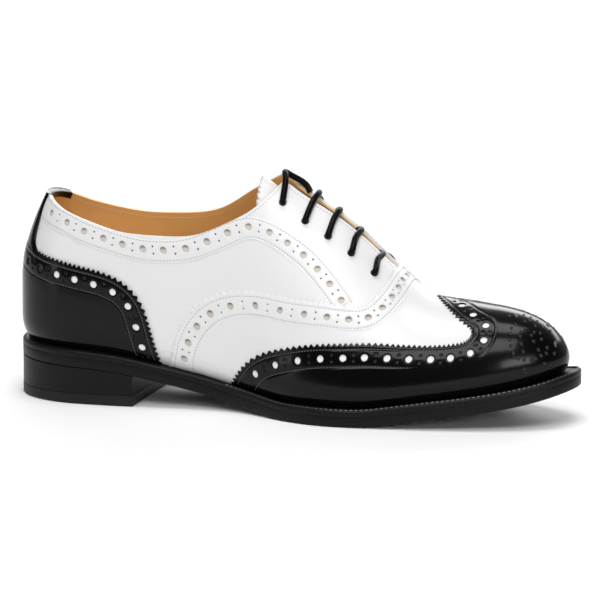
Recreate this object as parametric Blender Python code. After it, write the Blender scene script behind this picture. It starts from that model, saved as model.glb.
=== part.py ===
"""A left spectator oxford: hollow upper on a shaped last, wing cap, heel counter, tongue, lace and stacked sole.

The toe points along +X, the outer side of the foot is +Y and the floor is z = 0. Everything is worked out from the
last, a surface of two parameters. `p` runs from the back seam (-1) round the heel (0), along the foot (1) to the tip
of the toe (2). `t` runs across, from the inner feather edge (-1) over the ridge (0) to the outer feather edge (1).
"""

import math
from collections import namedtuple

import bmesh
import bpy
import numpy as np

# Sole and heel, in metres
OUTSOLE_LENGTH = 0.2745
OUTSOLE_THICKNESS = 0.0050
WELT_THICKNESS = 0.0029
WELT_REACH = 0.0045
WELT_LEDGE = 0.0015
HEEL_HEIGHT = 0.0189
HEEL_LENGTH = 0.0635
TOP_PIECE_THICKNESS = 0.0050
TOE_SPRING = 0.0178
INSOLE_RISE = 0.0012

# Upper, in metres
BALL_WIDTH = 0.0870
INSTEP_HEIGHT = 0.1000
WALL = 0.0022
OVERLAY_THICKNESS = 0.0012
HEEL_ROUND = 0.0360
FEATHER_TUCK = 0.0032
TUCK_HEIGHT = 0.0130
BACK_LEAN = 0.0105
THROAT_GAP = 0.0110

# Tongue and lacing, in metres
TONGUE_THICKNESS = 0.0024
TONGUE_DROP = 0.0088
TONGUE_SAG = 0.0040
LACE_DIAMETER = 0.0030
EYELET_DIAMETER = 0.0046
EYELET_PITCH = 0.0114
EYELETS_A_SIDE = 5
LACE_CLEARANCE = 0.0005
GAP = 0.0003
CUTTER_REACH = 0.0060

# Shares that shape the last
HEEL_POWER = 2.1
TOE_START = 0.60
INNER_TOE = (0.56, 2.4)
OUTER_TOE = (0.52, 2.2)
RIDGE_TOE = (0.865, 2.0)
LEAN_START = 0.30
LEAN_SPAN = 0.36
LEAN_FADE = 0.42
THROAT_END = 0.700
FIRST_EYELET = 0.489
EYELET_LINE = 0.705
TONGUE_TOP = 0.437
TONGUE_END = 0.722
TONGUE_SIDE = 0.60
TONGUE_TAPER = 0.45
THROAT_POWER = 0.35
WING_START = 0.36
STRIP_GAP = 0.006

# Every table below holds shares, first of the length and then of the size that its comment names.
# Widths and middle are shares of the ball width, ridge is one of the instep height, the rest are handle lengths.
Section = namedtuple("Section", "at inner outer ridge middle inner_wall outer_wall top")
SECTIONS = (
    Section(0.00, 0.335, 0.335, 1.150, 0.000, 0.62, 0.62, 0.62),
    Section(0.12, 0.335, 0.335, 1.170, 0.000, 0.62, 0.62, 0.62),
    Section(0.24, 0.325, 0.340, 1.190, 0.000, 0.62, 0.62, 0.58),
    Section(0.36, 0.295, 0.365, 1.160, 0.000, 0.60, 0.60, 0.48),
    Section(0.44, 0.330, 0.395, 1.090, 0.000, 0.58, 0.54, 0.38),
    Section(0.52, 0.430, 0.440, 0.955, 0.000, 0.50, 0.48, 0.32),
    Section(0.60, 0.490, 0.495, 0.815, 0.000, 0.48, 0.46, 0.30),
    Section(0.68, 0.487, 0.535, 0.617, 0.000, 0.52, 0.48, 0.36),
    Section(0.72, 0.480, 0.540, 0.505, -0.004, 0.55, 0.50, 0.42),
    Section(0.76, 0.472, 0.535, 0.430, -0.010, 0.58, 0.52, 0.47),
    Section(0.82, 0.458, 0.515, 0.385, -0.020, 0.60, 0.55, 0.53),
    Section(0.88, 0.440, 0.480, 0.348, -0.034, 0.62, 0.58, 0.58),
    Section(1.00, 0.420, 0.440, 0.330, -0.055, 0.62, 0.62, 0.60),
)
# The underside of the sole: shares of the heel height and of the toe spring.
Rise = namedtuple("Rise", "at heel toe")
SOLE_PROFILE = (
    Rise(0.000, 1.000, 0.000),
    Rise(0.110, 0.940, 0.000),
    Rise(0.230, 0.775, 0.000),
    Rise(0.275, 0.640, 0.000),
    Rise(0.345, 0.420, 0.000),
    Rise(0.400, 0.235, 0.000),
    Rise(0.450, 0.100, 0.000),
    Rise(0.510, 0.000, 0.000),
    Rise(0.600, 0.000, 0.000),
    Rise(0.650, 0.000, 0.010),
    Rise(0.700, 0.000, 0.110),
    Rise(0.770, 0.000, 0.275),
    Rise(0.840, 0.000, 0.430),
    Rise(0.900, 0.000, 0.590),
    Rise(0.950, 0.000, 0.770),
    Rise(1.000, 0.000, 1.000),
)
# How far the sole stands out beyond the upper, as shares of the welt's reach.
Margin = namedtuple("Margin", "at inner outer")
MARGINS = (
    Margin(0.00, 0.25, 0.25),
    Margin(0.05, 0.50, 0.50),
    Margin(0.25, 0.62, 0.62),
    Margin(0.36, 0.50, 0.72),
    Margin(0.46, 0.62, 0.82),
    Margin(0.56, 0.96, 0.96),
    Margin(0.70, 1.00, 1.00),
    Margin(0.90, 1.15, 1.15),
    Margin(1.00, 1.33, 1.33),
)
# The collar's height above the sole, as shares of the instep height.
Topline = namedtuple("Topline", "at inner outer")
TOPLINE = (
    Topline(0.000, 0.692, 0.692),
    Topline(0.030, 0.668, 0.658),
    Topline(0.060, 0.645, 0.628),
    Topline(0.090, 0.628, 0.609),
    Topline(0.120, 0.612, 0.597),
    Topline(0.190, 0.582, 0.594),
    Topline(0.270, 0.606, 0.640),
    Topline(0.340, 0.660, 0.724),
    Topline(0.390, 0.745, 0.835),
    Topline(0.430, 0.824, 0.920),
    Topline(0.465, 0.920, 0.990),
    Topline(0.500, 1.050, 1.060),
)
# Rear edges of the overlays: `up` is a share of the way from the feather edge to the ridge.
Edge = namedtuple("Edge", "at up")
WING_EDGE = (
    Edge(0.405, 0.000),
    Edge(0.420, 0.036),
    Edge(0.443, 0.071),
    Edge(0.482, 0.131),
    Edge(0.525, 0.190),
    Edge(0.567, 0.224),
    Edge(0.652, 0.289),
    Edge(0.751, 0.378),
    Edge(0.817, 0.412),
    Edge(0.840, 0.475),
    Edge(0.846, 0.564),
    Edge(0.831, 0.695),
    Edge(0.806, 0.811),
    Edge(0.775, 0.915),
    Edge(0.755, 1.000),
)
COUNTER_TOP = (
    Edge(0.000, 0.238),
    Edge(0.035, 0.227),
    Edge(0.065, 0.215),
    Edge(0.109, 0.207),
    Edge(0.161, 0.194),
    Edge(0.197, 0.185),
    Edge(0.233, 0.166),
    Edge(0.250, 0.140),
)
# The counter's front edge, `up` here as a share of its corner's height.
COUNTER_FRONT = (
    Edge(0.283, 0.00),
    Edge(0.279, 0.10),
    Edge(0.266, 0.40),
    Edge(0.259, 0.72),
    Edge(0.250, 1.00),
)
# The back strip's half width along the sole, `up` from the counter to the collar.
STRIP_SIDE = (
    Edge(0.0290, 0.00),
    Edge(0.0230, 0.30),
    Edge(0.0165, 0.60),
    Edge(0.0068, 1.00),
)
# How far the tongue lies below the ridge, as a share of its full drop.
Drop = namedtuple("Drop", "at share")
TONGUE_DROPS = (
    Drop(0.437, 1.08),
    Drop(0.520, 1.04),
    Drop(0.640, 0.97),
    Drop(0.685, 0.72),
    Drop(0.722, 0.31),
)

# Mesh density
HEEL_ROWS = 9
FOOT_ROWS = 26
TOE_ROWS = 11
SIDE_COLUMNS = 10
SOLE_COLUMNS = 3
LACE_POINTS = 112
WHOLE = slice(None)
ALL_ROUND = [(name, WHOLE) for name in ("start", "end", "low", "high")]

SOLE_EDGE = OUTSOLE_THICKNESS + WELT_THICKNESS
LAST_START = WELT_REACH * MARGINS[0].inner
LAST_LENGTH = OUTSOLE_LENGTH - LAST_START - WELT_REACH * MARGINS[-1].inner
INNER, OUTER = -1, 1
STEP = 1e-4

Finish = namedtuple("Finish", "color roughness")
WHITE_LEATHER = Finish((0.80, 0.79, 0.78), 0.42)
BLACK_LEATHER = Finish((0.012, 0.012, 0.013), 0.25)
TAN_LEATHER = Finish((0.42, 0.22, 0.08), 0.55)
EDGE_BLACK = Finish((0.018, 0.018, 0.018), 0.45)
LACE_BLACK = Finish((0.015, 0.015, 0.015), 0.60)


def spline(at, values, x):
    """Natural cubic through the points (at, values), read at x."""
    at = np.asarray(at, float)
    values = np.asarray(values, float)
    x = np.asarray(x, float)
    count = len(at)
    step = np.diff(at)
    matrix = np.eye(count)
    right = np.zeros(count)
    for i in range(1, count - 1):
        matrix[i, i - 1 : i + 2] = step[i - 1], 2 * (step[i - 1] + step[i]), step[i]
        right[i] = 6 * ((values[i + 1] - values[i]) / step[i] - (values[i] - values[i - 1]) / step[i - 1])
    bend = np.linalg.solve(matrix, right)
    i = np.clip(np.searchsorted(at, x) - 1, 0, count - 2)
    before, after, span = x - at[i], at[i + 1] - x, step[i]
    cubic = (bend[i] * after**3 + bend[i + 1] * before**3) / (6 * span)
    low = (values[i] / span - bend[i] * span / 6) * after
    high = (values[i + 1] / span - bend[i + 1] * span / 6) * before
    return cubic + low + high


def column(table, name):
    return [getattr(row, name) for row in table]


def along(table, name, share):
    return spline(column(table, "at"), column(table, name), share)


def by_side(side, inner, outer):
    return np.where(side < 0, inner, outer)


def sole_bottom(x):
    """Height of the sole's underside over the floor."""
    heights = [HEEL_HEIGHT * row.heel + TOE_SPRING * row.toe for row in SOLE_PROFILE]
    share = np.clip(x / OUTSOLE_LENGTH, 0, 1)
    return np.maximum(spline(column(SOLE_PROFILE, "at"), heights, share), 0)


def closing(share, start, power):
    """1 up to `start`, then down to 0 at the tip as a superellipse."""
    past = np.clip((share - start) / (1 - start), 0, 1)
    return np.sqrt(np.clip(1 - past**power, 0, 1))


def station(p):
    """Distance from the back of the last, and how far the heel has widened there."""
    turn = np.clip(p + 1, 0, 1) * math.pi / 2
    toe_turn = np.clip(p - 1, 0, 1) * math.pi / 2
    start = TOE_START * LAST_LENGTH
    heel = HEEL_ROUND * (1 - np.cos(turn) ** (2 / HEEL_POWER))
    foot = HEEL_ROUND + np.clip(p, 0, 1) * (start - HEEL_ROUND)
    toe = start + (LAST_LENGTH - start) * np.sin(toe_turn)
    return np.where(p < 0, heel, np.where(p < 1, foot, toe)), np.sin(turn) ** (2 / HEEL_POWER)


def station_at(share):
    """The parameter p of a share of the last's length."""
    x = np.asarray(share, float) * LAST_LENGTH
    start = TOE_START * LAST_LENGTH
    heel = np.arccos(np.clip(1 - x / HEEL_ROUND, 0, 1) ** (HEEL_POWER / 2)) * 2 / math.pi - 1
    foot = (x - HEEL_ROUND) / (start - HEEL_ROUND)
    toe = 1 + np.arcsin(np.clip((x - start) / (LAST_LENGTH - start), 0, 1)) * 2 / math.pi
    return np.where(x < HEEL_ROUND, heel, np.where(x < start, foot, toe))


def section_point(p, side, up):
    """Across and above the feather edge, a cubic curve from a steep wall to a level ridge."""
    x, heel = station(p)
    share = x / LAST_LENGTH
    half = by_side(side, along(SECTIONS, "inner", share), along(SECTIONS, "outer", share))
    toe = by_side(side, closing(share, *INNER_TOE), closing(share, *OUTER_TOE))
    width = half * BALL_WIDTH * heel * toe
    ridge = along(SECTIONS, "ridge", share) * INSTEP_HEIGHT * closing(share, *RIDGE_TOE)
    wall = by_side(side, along(SECTIONS, "inner_wall", share), along(SECTIONS, "outer_wall", share))
    down = 1 - up
    across = width * (down**3 + 3 * down**2 * up + 3 * down * up**2 * along(SECTIONS, "top", share))
    height = ridge * (3 * down**2 * up * wall + 3 * down * up**2 + up**3)
    return share, across, height


def plain_last(p, t):
    """The last without its tuck, its heights above the feather edge, and the x of its stations."""
    p, t = np.broadcast_arrays(np.asarray(p, float), np.asarray(t, float))
    t = np.where(p < -1, -t, t)
    p = np.where(p < -1, -2 - p, p)
    side = np.where(t < 0, INNER, OUTER)
    share, across, height = section_point(p, side, 1 - np.abs(t))
    lean = np.clip((height / INSTEP_HEIGHT - LEAN_START) / LEAN_SPAN, 0, 2) ** 1.7
    fade = 0.5 + 0.5 * np.cos(np.clip(share / LEAN_FADE, 0, 1) * math.pi)
    x = LAST_START + share * LAST_LENGTH
    middle = along(SECTIONS, "middle", share) * BALL_WIDTH
    return np.stack([x + BACK_LEAN * lean * fade, middle + side * across, height], -1), x


def last_normal(p, t):
    """Outward unit normals of the last, straight ahead at the tip of the toe."""
    near = np.minimum(p, 2 - 50 * STEP)
    ahead = plain_last(near + STEP, t)[0] - plain_last(near - STEP, t)[0]
    low_t = np.maximum(t - STEP, -1)
    across = plain_last(near, np.minimum(t + STEP, 1))[0] - plain_last(near, low_t)[0]
    normal = np.cross(ahead, across)
    normal /= np.maximum(np.linalg.norm(normal, axis=-1, keepdims=True), 1e-15)
    at_tip = np.broadcast_to(np.asarray(p) > 2 - STEP / 10, normal.shape[:-1])
    return np.where(at_tip[..., None], (1.0, 0.0, 0.0), normal)


def last_surface(p, t, lift=0.0):
    """Points over the last, lifted off it along its normals and tucked in at the feather edge."""
    p, t = np.broadcast_arrays(np.asarray(p, float), np.asarray(t, float))
    point, x = plain_last(p, t)
    normal = last_normal(p, t)
    low = np.clip(1 - point[..., 2] / TUCK_HEIGHT, 0, 1)
    level = normal * (1, 1, 0)
    point = point + np.asarray(lift)[..., None] * normal - FEATHER_TUCK * low[..., None] ** 3 * level
    seat = sole_bottom(x + (point[..., 0] - x) * low) + SOLE_EDGE + GAP
    return point + seat[..., None] * (0, 0, 1)


def up_at_height(p, side, height):
    """How far up the section a height lies, by halving."""
    low = np.zeros_like(p)
    high = np.ones_like(p)
    for _ in range(40):
        middle = (low + high) / 2
        below = section_point(p, side, middle)[2] < height
        low = np.where(below, middle, low)
        high = np.where(below, high, middle)
    return middle


def up_at_width(p, side, width):
    """How far up the section the surface comes within `width` of its middle, by halving."""
    low = np.zeros_like(p)
    high = np.ones_like(p)
    for _ in range(40):
        middle = (low + high) / 2
        outside = section_point(p, side, middle)[1] > width
        low = np.where(outside, middle, low)
        high = np.where(outside, high, middle)
    return middle


def top_edge(p, side):
    """The upper's upper edge: the collar, then the throat's edge, then the ridge of the closed vamp."""
    share = station(p)[0] / LAST_LENGTH
    heights = along(TOPLINE, "inner" if side < 0 else "outer", np.clip(share, 0, TOPLINE[-1].at))
    collar = up_at_height(p, side, heights * INSTEP_HEIGHT)
    narrowing = np.clip((THROAT_END - share) / (THROAT_END - FIRST_EYELET), 0, 1) ** THROAT_POWER
    throat = up_at_width(p, side, THROAT_GAP / 2 * narrowing)
    throat = np.where(share < TONGUE_TOP, 1.0, throat)
    edge = np.where(share < TOPLINE[-1].at, np.minimum(collar, throat), throat)
    return np.where(share > THROAT_END - 1e-6, 1.0, edge)


def stations():
    """Rows of the upper, with one exactly where the throat ends and one where the collar meets it."""
    heel = np.linspace(-1, 0, HEEL_ROWS)[:-1]
    foot = np.linspace(0, 1, FOOT_ROWS)[:-1]
    toe = np.linspace(1, 2, TOE_ROWS)
    rows = np.concatenate([heel, foot, toe])
    end = station_at(THROAT_END)
    rows = rows[np.abs(rows - end) > 0.03]
    return np.sort(np.append(rows, end))


def new_object(name, data, finish):
    """An object of its own material, linked to the scene."""
    material = bpy.data.materials.new(name)
    material.use_nodes = True
    shader = material.node_tree.nodes["Principled BSDF"]
    shader.inputs["Base Color"].default_value = (*finish.color, 1)
    shader.inputs["Roughness"].default_value = finish.roughness
    material.diffuse_color = (*finish.color, 1)
    data.materials.append(material)
    piece = bpy.data.objects.new(name, data)
    bpy.context.scene.collection.objects.link(piece)
    return piece


def solid(name, finish, points, faces):
    """A mesh object of these points and faces, welded, facing out and centred on the part's origin."""
    mesh = bpy.data.meshes.new(name)
    shape = bmesh.new()
    vertices = [shape.verts.new(point) for point in np.asarray(points) - ORIGIN]
    for face in faces:
        shape.faces.new([vertices[i] for i in face])
    bmesh.ops.remove_doubles(shape, verts=shape.verts, dist=2e-6)
    bmesh.ops.recalc_face_normals(shape, faces=shape.faces)
    if shape.calc_volume(signed=True) < 0:
        bmesh.ops.reverse_faces(shape, faces=shape.faces)
    shape.to_mesh(mesh)
    shape.free()
    mesh.shade_smooth()
    mesh.set_sharp_from_angle(angle=math.radians(40))
    return new_object(name, mesh, finish)


def grid_faces(rows, columns, first=0, turned=False):
    """Faces of a grid of points that starts at index `first`."""
    corner = first + np.arange((rows - 1) * columns).reshape(rows - 1, columns)[:, :-1].ravel()
    quads = np.stack([corner, corner + columns, corner + columns + 1, corner + 1], -1)
    return (quads[:, ::-1] if turned else quads).tolist()


def edge_faces(line_a, line_b):
    """Faces between two lines of point indices."""
    pairs = zip(line_a[:-1], line_a[1:], line_b[1:], line_b[:-1])
    return [list(face) for face in pairs]


def slab(first, second, borders):
    """Two grids of points, one over the other, closed along the borders that are named.

    A border is a pair of the side's name and the stretch of it that is closed.
    """
    rows, columns = first.shape[:2]
    size = rows * columns
    points = np.concatenate([first.reshape(-1, 3), second.reshape(-1, 3)])
    faces = grid_faces(rows, columns) + grid_faces(rows, columns, size, turned=True)
    index = np.arange(size).reshape(rows, columns)
    lines = {"start": index[0], "end": index[-1], "low": index[:, 0], "high": index[:, -1]}
    for name, stretch in borders:
        line = lines[name][stretch]
        faces += edge_faces(line, line + size)
    return points, faces


def join(slabs):
    """Several point and face lists as one."""
    points = []
    faces = []
    count = 0
    for some, ring in slabs:
        points.append(some)
        faces += [[i + count for i in face] for face in ring]
        count += len(some)
    return np.concatenate(points), faces


def closed_ring(loops):
    """A ring whose section is a polygon, one closed loop of points for each of its corners."""
    loops = np.asarray(loops)
    corners, count = loops.shape[:2]
    index = np.arange(corners * count).reshape(corners, count)
    faces = []
    for here, there in zip(index, np.roll(index, -1, axis=0)):
        faces += edge_faces(np.append(here, here[0]), np.append(there, there[0]))
    return loops.reshape(-1, 3), faces


def outline(p, side):
    """The sole's outline, outside the upper by the welt's margin."""
    p = np.asarray(p, float)
    near = np.minimum(p, 2 - STEP)
    along_edge = plain_last(near + STEP, side)[0] - plain_last(near - STEP, side)[0]
    out = np.stack([-along_edge[:, 1], along_edge[:, 0]], -1) * side
    out /= np.linalg.norm(out, axis=1, keepdims=True)
    share = station(p)[0] / LAST_LENGTH
    margin = WELT_REACH * along(MARGINS, "inner" if side < 0 else "outer", share)
    return plain_last(p, float(side))[0][:, :2] + margin[:, None] * out


def inside_line(p, side, inset):
    """A line inside the upper's wall at the feather edge."""
    return last_surface(p, float(side), -(WALL + inset))[:, :2]


def between(inner, outer, columns):
    """Rows of points from the inner side's line to the outer side's."""
    share = np.linspace(0, 1, columns)[None, :, None]
    return inner[:, None] * (1 - share) + outer[:, None] * share


def at_heights(plan, height):
    """A plan grid given heights, worked out from each point's x."""
    return np.concatenate([plan, height(plan[..., 0])[..., None]], -1)


def plate(plan, low, high):
    """A plate between two height functions, with pointed ends or straight ones."""
    return slab(at_heights(plan, low), at_heights(plan, high), ALL_ROUND)


def origin_shift():
    """The middle of the part's box, on the floor."""
    p = np.linspace(-1, 2, 400)
    sole = np.concatenate([outline(p, INNER), outline(p, OUTER)])
    back = last_surface(np.full(60, -1.0), np.linspace(-1, -0.3, 60), GAP + OVERLAY_THICKNESS)
    low = np.minimum(sole.min(axis=0), back[:, :2].min(axis=0))
    high = sole.max(axis=0)
    return np.array([(low[0] + high[0]) / 2, (low[1] + high[1]) / 2, 0.0])


ORIGIN = origin_shift()


def shell(p, low_lift, high_lift, borders):
    """Both sides of the last between two lifts, open along the collar and the throat, met along the ridge."""
    rise = np.linspace(0, 1, SIDE_COLUMNS + 1)
    halves = []
    for side in (INNER, OUTER):
        edge = top_edge(p, side)
        t = side * (1 - edge[:, None] * rise)
        over = last_surface(p[:, None], t, high_lift)
        under = last_surface(p[:, None], t, low_lift)
        opening = slice(0, int(np.count_nonzero(edge < 1)) + 1)
        halves.append(slab(over, under, borders + [("low", WHOLE), ("high", opening)]))
    return join(halves)


def cut(piece, cutter):
    """Takes the cutter out of the piece, and hides it."""
    cutter.hide_render = True
    cutter.display_type = "WIRE"
    change = piece.modifiers.new(cutter.name, "BOOLEAN")
    change.operation = "DIFFERENCE"
    change.object = cutter
    return piece


def upper():
    """The hollow upper, with its wall turned round the collar, the throat and the feather edge."""
    return cut(solid("upper", WHITE_LEATHER, *shell(stations(), -WALL, 0.0, [])), eyelet_cutter())


def eyelet_frame(number, side):
    """The parameters of an eyelet, counted from the top of the throat."""
    share = FIRST_EYELET + number * EYELET_PITCH / LAST_LENGTH
    return station_at(share), side * (1 - EYELET_LINE)


def eyelet_cutter():
    """Round cutters along the wall's normal, one for each eyelet."""
    sides = 10
    turn = np.arange(sides) * 2 * math.pi / sides
    shapes = []
    for side in (INNER, OUTER):
        for number in range(EYELETS_A_SIDE):
            p, t = eyelet_frame(number, side)
            normal = last_normal(p, t)
            level = np.cross(normal, (0, 0, 1.0))
            level /= np.linalg.norm(level)
            steep = np.cross(normal, level)
            ring = np.cos(turn)[:, None] * level + np.sin(turn)[:, None] * steep
            low = last_surface(p, t, -2 * WALL) + ring * EYELET_DIAMETER / 2
            high = last_surface(p, t, WALL) + ring * EYELET_DIAMETER / 2
            loop = list(range(sides))
            sides_faces = edge_faces(np.append(loop, 0), np.append(loop, 0) + sides)
            caps = [loop[::-1], [i + sides for i in loop]]
            shapes.append((np.concatenate([low, high]), sides_faces + caps))
    return solid("eyelet_cutter", BLACK_LEATHER, *join(shapes))


def overlay(name, p, t, borders):
    """A piece of leather over the upper, cut from the last's own surface."""
    under = last_surface(p, t, GAP)
    over = last_surface(p, t, GAP + OVERLAY_THICKNESS)
    return solid(name, BLACK_LEATHER, *slab(over, under, borders))


def wing_cutter():
    """What lies behind the wing cap's rear edge, a little thicker than the cap and reaching below it."""
    up = np.append(np.linspace(0, 0.4, 12), np.linspace(0.45, 1, 10))
    t = np.concatenate([up - 1, 1 - up[-2::-1]])
    edge = spline(column(WING_EDGE, "up"), column(WING_EDGE, "at"), 1 - np.abs(t))
    rows = np.linspace(0, 1, 12)[:, None]
    p = station_at(WING_START * (1 - rows) + edge * rows)
    layers = []
    for lift in (CUTTER_REACH, -CUTTER_REACH / 2):
        layer = last_surface(p, t, lift)
        below = (0, 0, CUTTER_REACH)
        layers.append(np.concatenate([layer[:, :1] - below, layer, layer[:, -1:] - below], axis=1))
    return solid("wing_cutter", BLACK_LEATHER, *slab(*layers, ALL_ROUND))


def wing_cap():
    """The toe cap with its two wings, a shell over the front of the upper cut off along its rear edge."""
    p = stations()
    p = p[p > station_at(WING_START) + STEP]
    cap = shell(p, GAP, GAP + OVERLAY_THICKNESS, [("start", WHOLE)])
    return cut(solid("wing_cap", BLACK_LEATHER, *cap), wing_cutter())


def heel_counter():
    """The counter, from one front edge round the heel to the other."""
    corner = station_at(COUNTER_TOP[-1].at)
    across = np.linspace(-1, 1, 31)
    rise = np.linspace(0, 1, 7)[:, None]
    share = station(-1 + np.abs(across) * (corner + 1))[0] / LAST_LENGTH
    front = spline(column(COUNTER_FRONT, "up"), column(COUNTER_FRONT, "at"), rise)
    shares = share + (front - COUNTER_TOP[-1].at) * np.abs(across) ** 3
    up = rise * along(COUNTER_TOP, "up", share)
    side = np.where(across < 0, INNER, OUTER)
    return overlay("heel_counter", station_at(shares), side * (1 - up), ALL_ROUND)


def back_strip():
    """The strip over the back seam, from the counter to the collar."""
    across = np.linspace(-1, 1, 9)
    rise = np.linspace(0, 1, 7)[:, None]
    side_share = spline(column(STRIP_SIDE, "up"), column(STRIP_SIDE, "at"), rise)
    p = -1 + np.abs(across) * (station_at(side_share) + 1)
    side = np.where(across < 0, INNER, OUTER) * np.ones_like(rise)
    share = station(p)[0] / LAST_LENGTH
    foot = along(COUNTER_TOP, "up", share) + STRIP_GAP
    head = np.where(side < 0, top_edge(p, INNER), top_edge(p, OUTER))
    up = foot * (1 - rise) + head * rise
    return overlay("back_strip", p, side * (1 - up), ALL_ROUND)


def tongue_surface(p, t):
    """The tongue's upper face, straight below the last's ridge."""
    point, x = plain_last(p, t)
    share = (x - LAST_START) / LAST_LENGTH
    drop = TONGUE_DROP * along(TONGUE_DROPS, "share", share) + TONGUE_SAG * (t / (1 - TONGUE_SIDE)) ** 2
    return point + (sole_bottom(x) + SOLE_EDGE - drop)[..., None] * (0, 0, 1)


def tongue():
    """The tongue, above the foot and under the lace, its lower end beneath the vamp."""
    rows = np.linspace(0, 1, 14)[:, None]
    p = station_at(TONGUE_TOP + rows * (TONGUE_END - TONGUE_TOP))
    half = (1 - TONGUE_SIDE) * (1 - TONGUE_TAPER * rows**2)
    t = half * np.linspace(-1, 1, 13)
    over = tongue_surface(p, t)
    under = over - (0, 0, TONGUE_THICKNESS)
    return solid("tongue", WHITE_LEATHER, *slab(over, under, ALL_ROUND))


def sole_rows():
    heel = 1 - np.cos(np.linspace(0, math.pi / 2, 11))
    foot = np.linspace(0, 1, 24)[1:-1]
    toe = np.linspace(1, 2, 15)
    return np.concatenate([heel - 1, foot, toe])


def outsole_top(x):
    return sole_bottom(x) + OUTSOLE_THICKNESS


def welt_bottom(x):
    return outsole_top(x) + GAP


def welt_top(x):
    return sole_bottom(x) + SOLE_EDGE


def insole_top(x):
    return welt_top(x) + INSOLE_RISE


def stack_top(x):
    return sole_bottom(x) - GAP


def stack_bottom(x):
    return np.full_like(x, TOP_PIECE_THICKNESS + GAP)


def piece_top(x):
    return np.full_like(x, TOP_PIECE_THICKNESS)


def outsole():
    p = sole_rows()
    plan = between(outline(p, INNER), outline(p, OUTER), SOLE_COLUMNS + 1)
    return solid("outsole", EDGE_BLACK, *plate(plan, sole_bottom, outsole_top))


def welt():
    """The rand round the whole sole, under the upper's edge."""
    p = sole_rows()
    outer = np.concatenate([outline(p, INNER), outline(p, OUTER)[-2:0:-1]])
    inner = np.concatenate(
        [inside_line(p, INNER, WELT_LEDGE), inside_line(p, OUTER, WELT_LEDGE)[-2:0:-1]]
    )
    lines = ((outer, welt_bottom), (outer, welt_top), (inner, welt_top), (inner, welt_bottom))
    loops = [at_heights(line, height) for line, height in lines]
    return solid("welt", EDGE_BLACK, *closed_ring(loops))


def insole():
    """The board inside the welt, with the foot's lining over it."""
    p = sole_rows()
    inset = WELT_LEDGE + GAP
    plan = between(inside_line(p, INNER, inset), inside_line(p, OUTER, inset), SOLE_COLUMNS + 1)
    return solid("insole", TAN_LEATHER, *plate(plan, welt_bottom, insole_top))


def heel_plan():
    """The heel's plan: the sole's outline up to a straight breast."""
    rows = 1 - np.cos(np.linspace(0, math.pi / 2, 13))
    fine = np.linspace(-1, 0.6, 400)
    lines = []
    for side in (INNER, OUTER):
        breast = np.interp(HEEL_LENGTH, outline(fine, side)[:, 0], fine)
        lines.append(outline(-1 + rows * (breast + 1), side))
        lines[-1][-1, 0] = HEEL_LENGTH
    return between(*lines, SOLE_COLUMNS + 1)


def heel_stack():
    return solid("heel_stack", EDGE_BLACK, *plate(heel_plan(), stack_bottom, stack_top))


def top_piece():
    return solid("top_piece", EDGE_BLACK, *plate(heel_plan(), np.zeros_like, piece_top))


def through_eyelet(number, side, outward):
    """The lace's points through one eyelet, along the hole."""
    p, t = eyelet_frame(number, side)
    reach = LACE_DIAMETER / 2 + LACE_CLEARANCE
    lifts = (-WALL - 0.8 * reach, -WALL / 2, 0.7 * reach)
    points = [last_surface(p, t, lift) for lift in lifts]
    return points if outward else points[::-1]


def bar(number, start):
    """The lace over the throat from one side's eyelet to the other's, bowed a little towards the toe."""
    p, t = eyelet_frame(number, start)
    reach = LACE_DIAMETER / 2 + LACE_CLEARANCE
    across = np.array([0.78, 0.45, 0.0, -0.45, -0.78])
    bow = 0.0030 * (1 - number / EYELETS_A_SIDE) * (1 - across**2)
    points = last_surface(p, t * across, reach + 0.0002)
    points[:, 0] += bow
    points[:, 2] -= 0.0004 * (1 - across**2)
    return list(points)


def under_run(number, side):
    """The lace under the facing, from one eyelet to the next one up."""
    p_low, t = eyelet_frame(number, side)
    p_high, _ = eyelet_frame(number - 1, side)
    depth = -(WALL + LACE_DIAMETER / 2 + LACE_CLEARANCE)
    return [last_surface(p_low + share * (p_high - p_low), t, depth) for share in (0.3, 0.7)]


def top_strand():
    """The lace's last stretch: up from the top eyelet, over the ridge and down into the throat."""
    p, t = eyelet_frame(0, INNER)
    _, second = eyelet_frame(1, INNER)
    reach = LACE_DIAMETER / 2 + LACE_CLEARANCE
    pitch = eyelet_frame(1, INNER)[0] - p
    places = ((-0.02, 0.72, 1.1), (-0.06, 0.42, 1.6), (-0.02, 0.05, 2.0), (0.24, -0.22, 1.8), (0.50, -0.20, 0.6))
    points = [last_surface(p + ahead * pitch, t * across, reach * lift) for ahead, across, lift in places]
    end = last_surface(p + 0.66 * pitch, t * -0.05, -1.2 * reach)
    return points + [end]


def lace_route():
    """The lace from the lowest eyelet up, crossing at each pair and running under one facing between them."""
    side = INNER
    route = through_eyelet(EYELETS_A_SIDE - 1, side, True)
    for number in range(EYELETS_A_SIDE - 1, 0, -1):
        route += bar(number, side)
        side = -side
        route += through_eyelet(number, side, False)
        route += under_run(number, side)
        route += through_eyelet(number - 1, side, True)
    return np.array(route + top_strand())


def lace():
    """A round lace, smooth through its route."""
    route = lace_route()
    steps = np.linalg.norm(np.diff(route, axis=0), axis=1) ** 0.5
    place = np.append(0, np.cumsum(steps))
    fine = np.linspace(0, place[-1], LACE_POINTS)
    smooth = np.stack([spline(place, route[:, axis], fine) for axis in range(3)], -1) - ORIGIN
    path = bpy.data.curves.new("lace", "CURVE")
    path.dimensions = "3D"
    path.bevel_depth = LACE_DIAMETER / 2
    path.bevel_resolution = 1
    path.use_fill_caps = True
    line = path.splines.new("POLY")
    line.points.add(len(smooth) - 1)
    line.points.foreach_set("co", np.append(smooth, np.ones((len(smooth), 1)), axis=1).ravel())
    return new_object("lace", path, LACE_BLACK)


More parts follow.
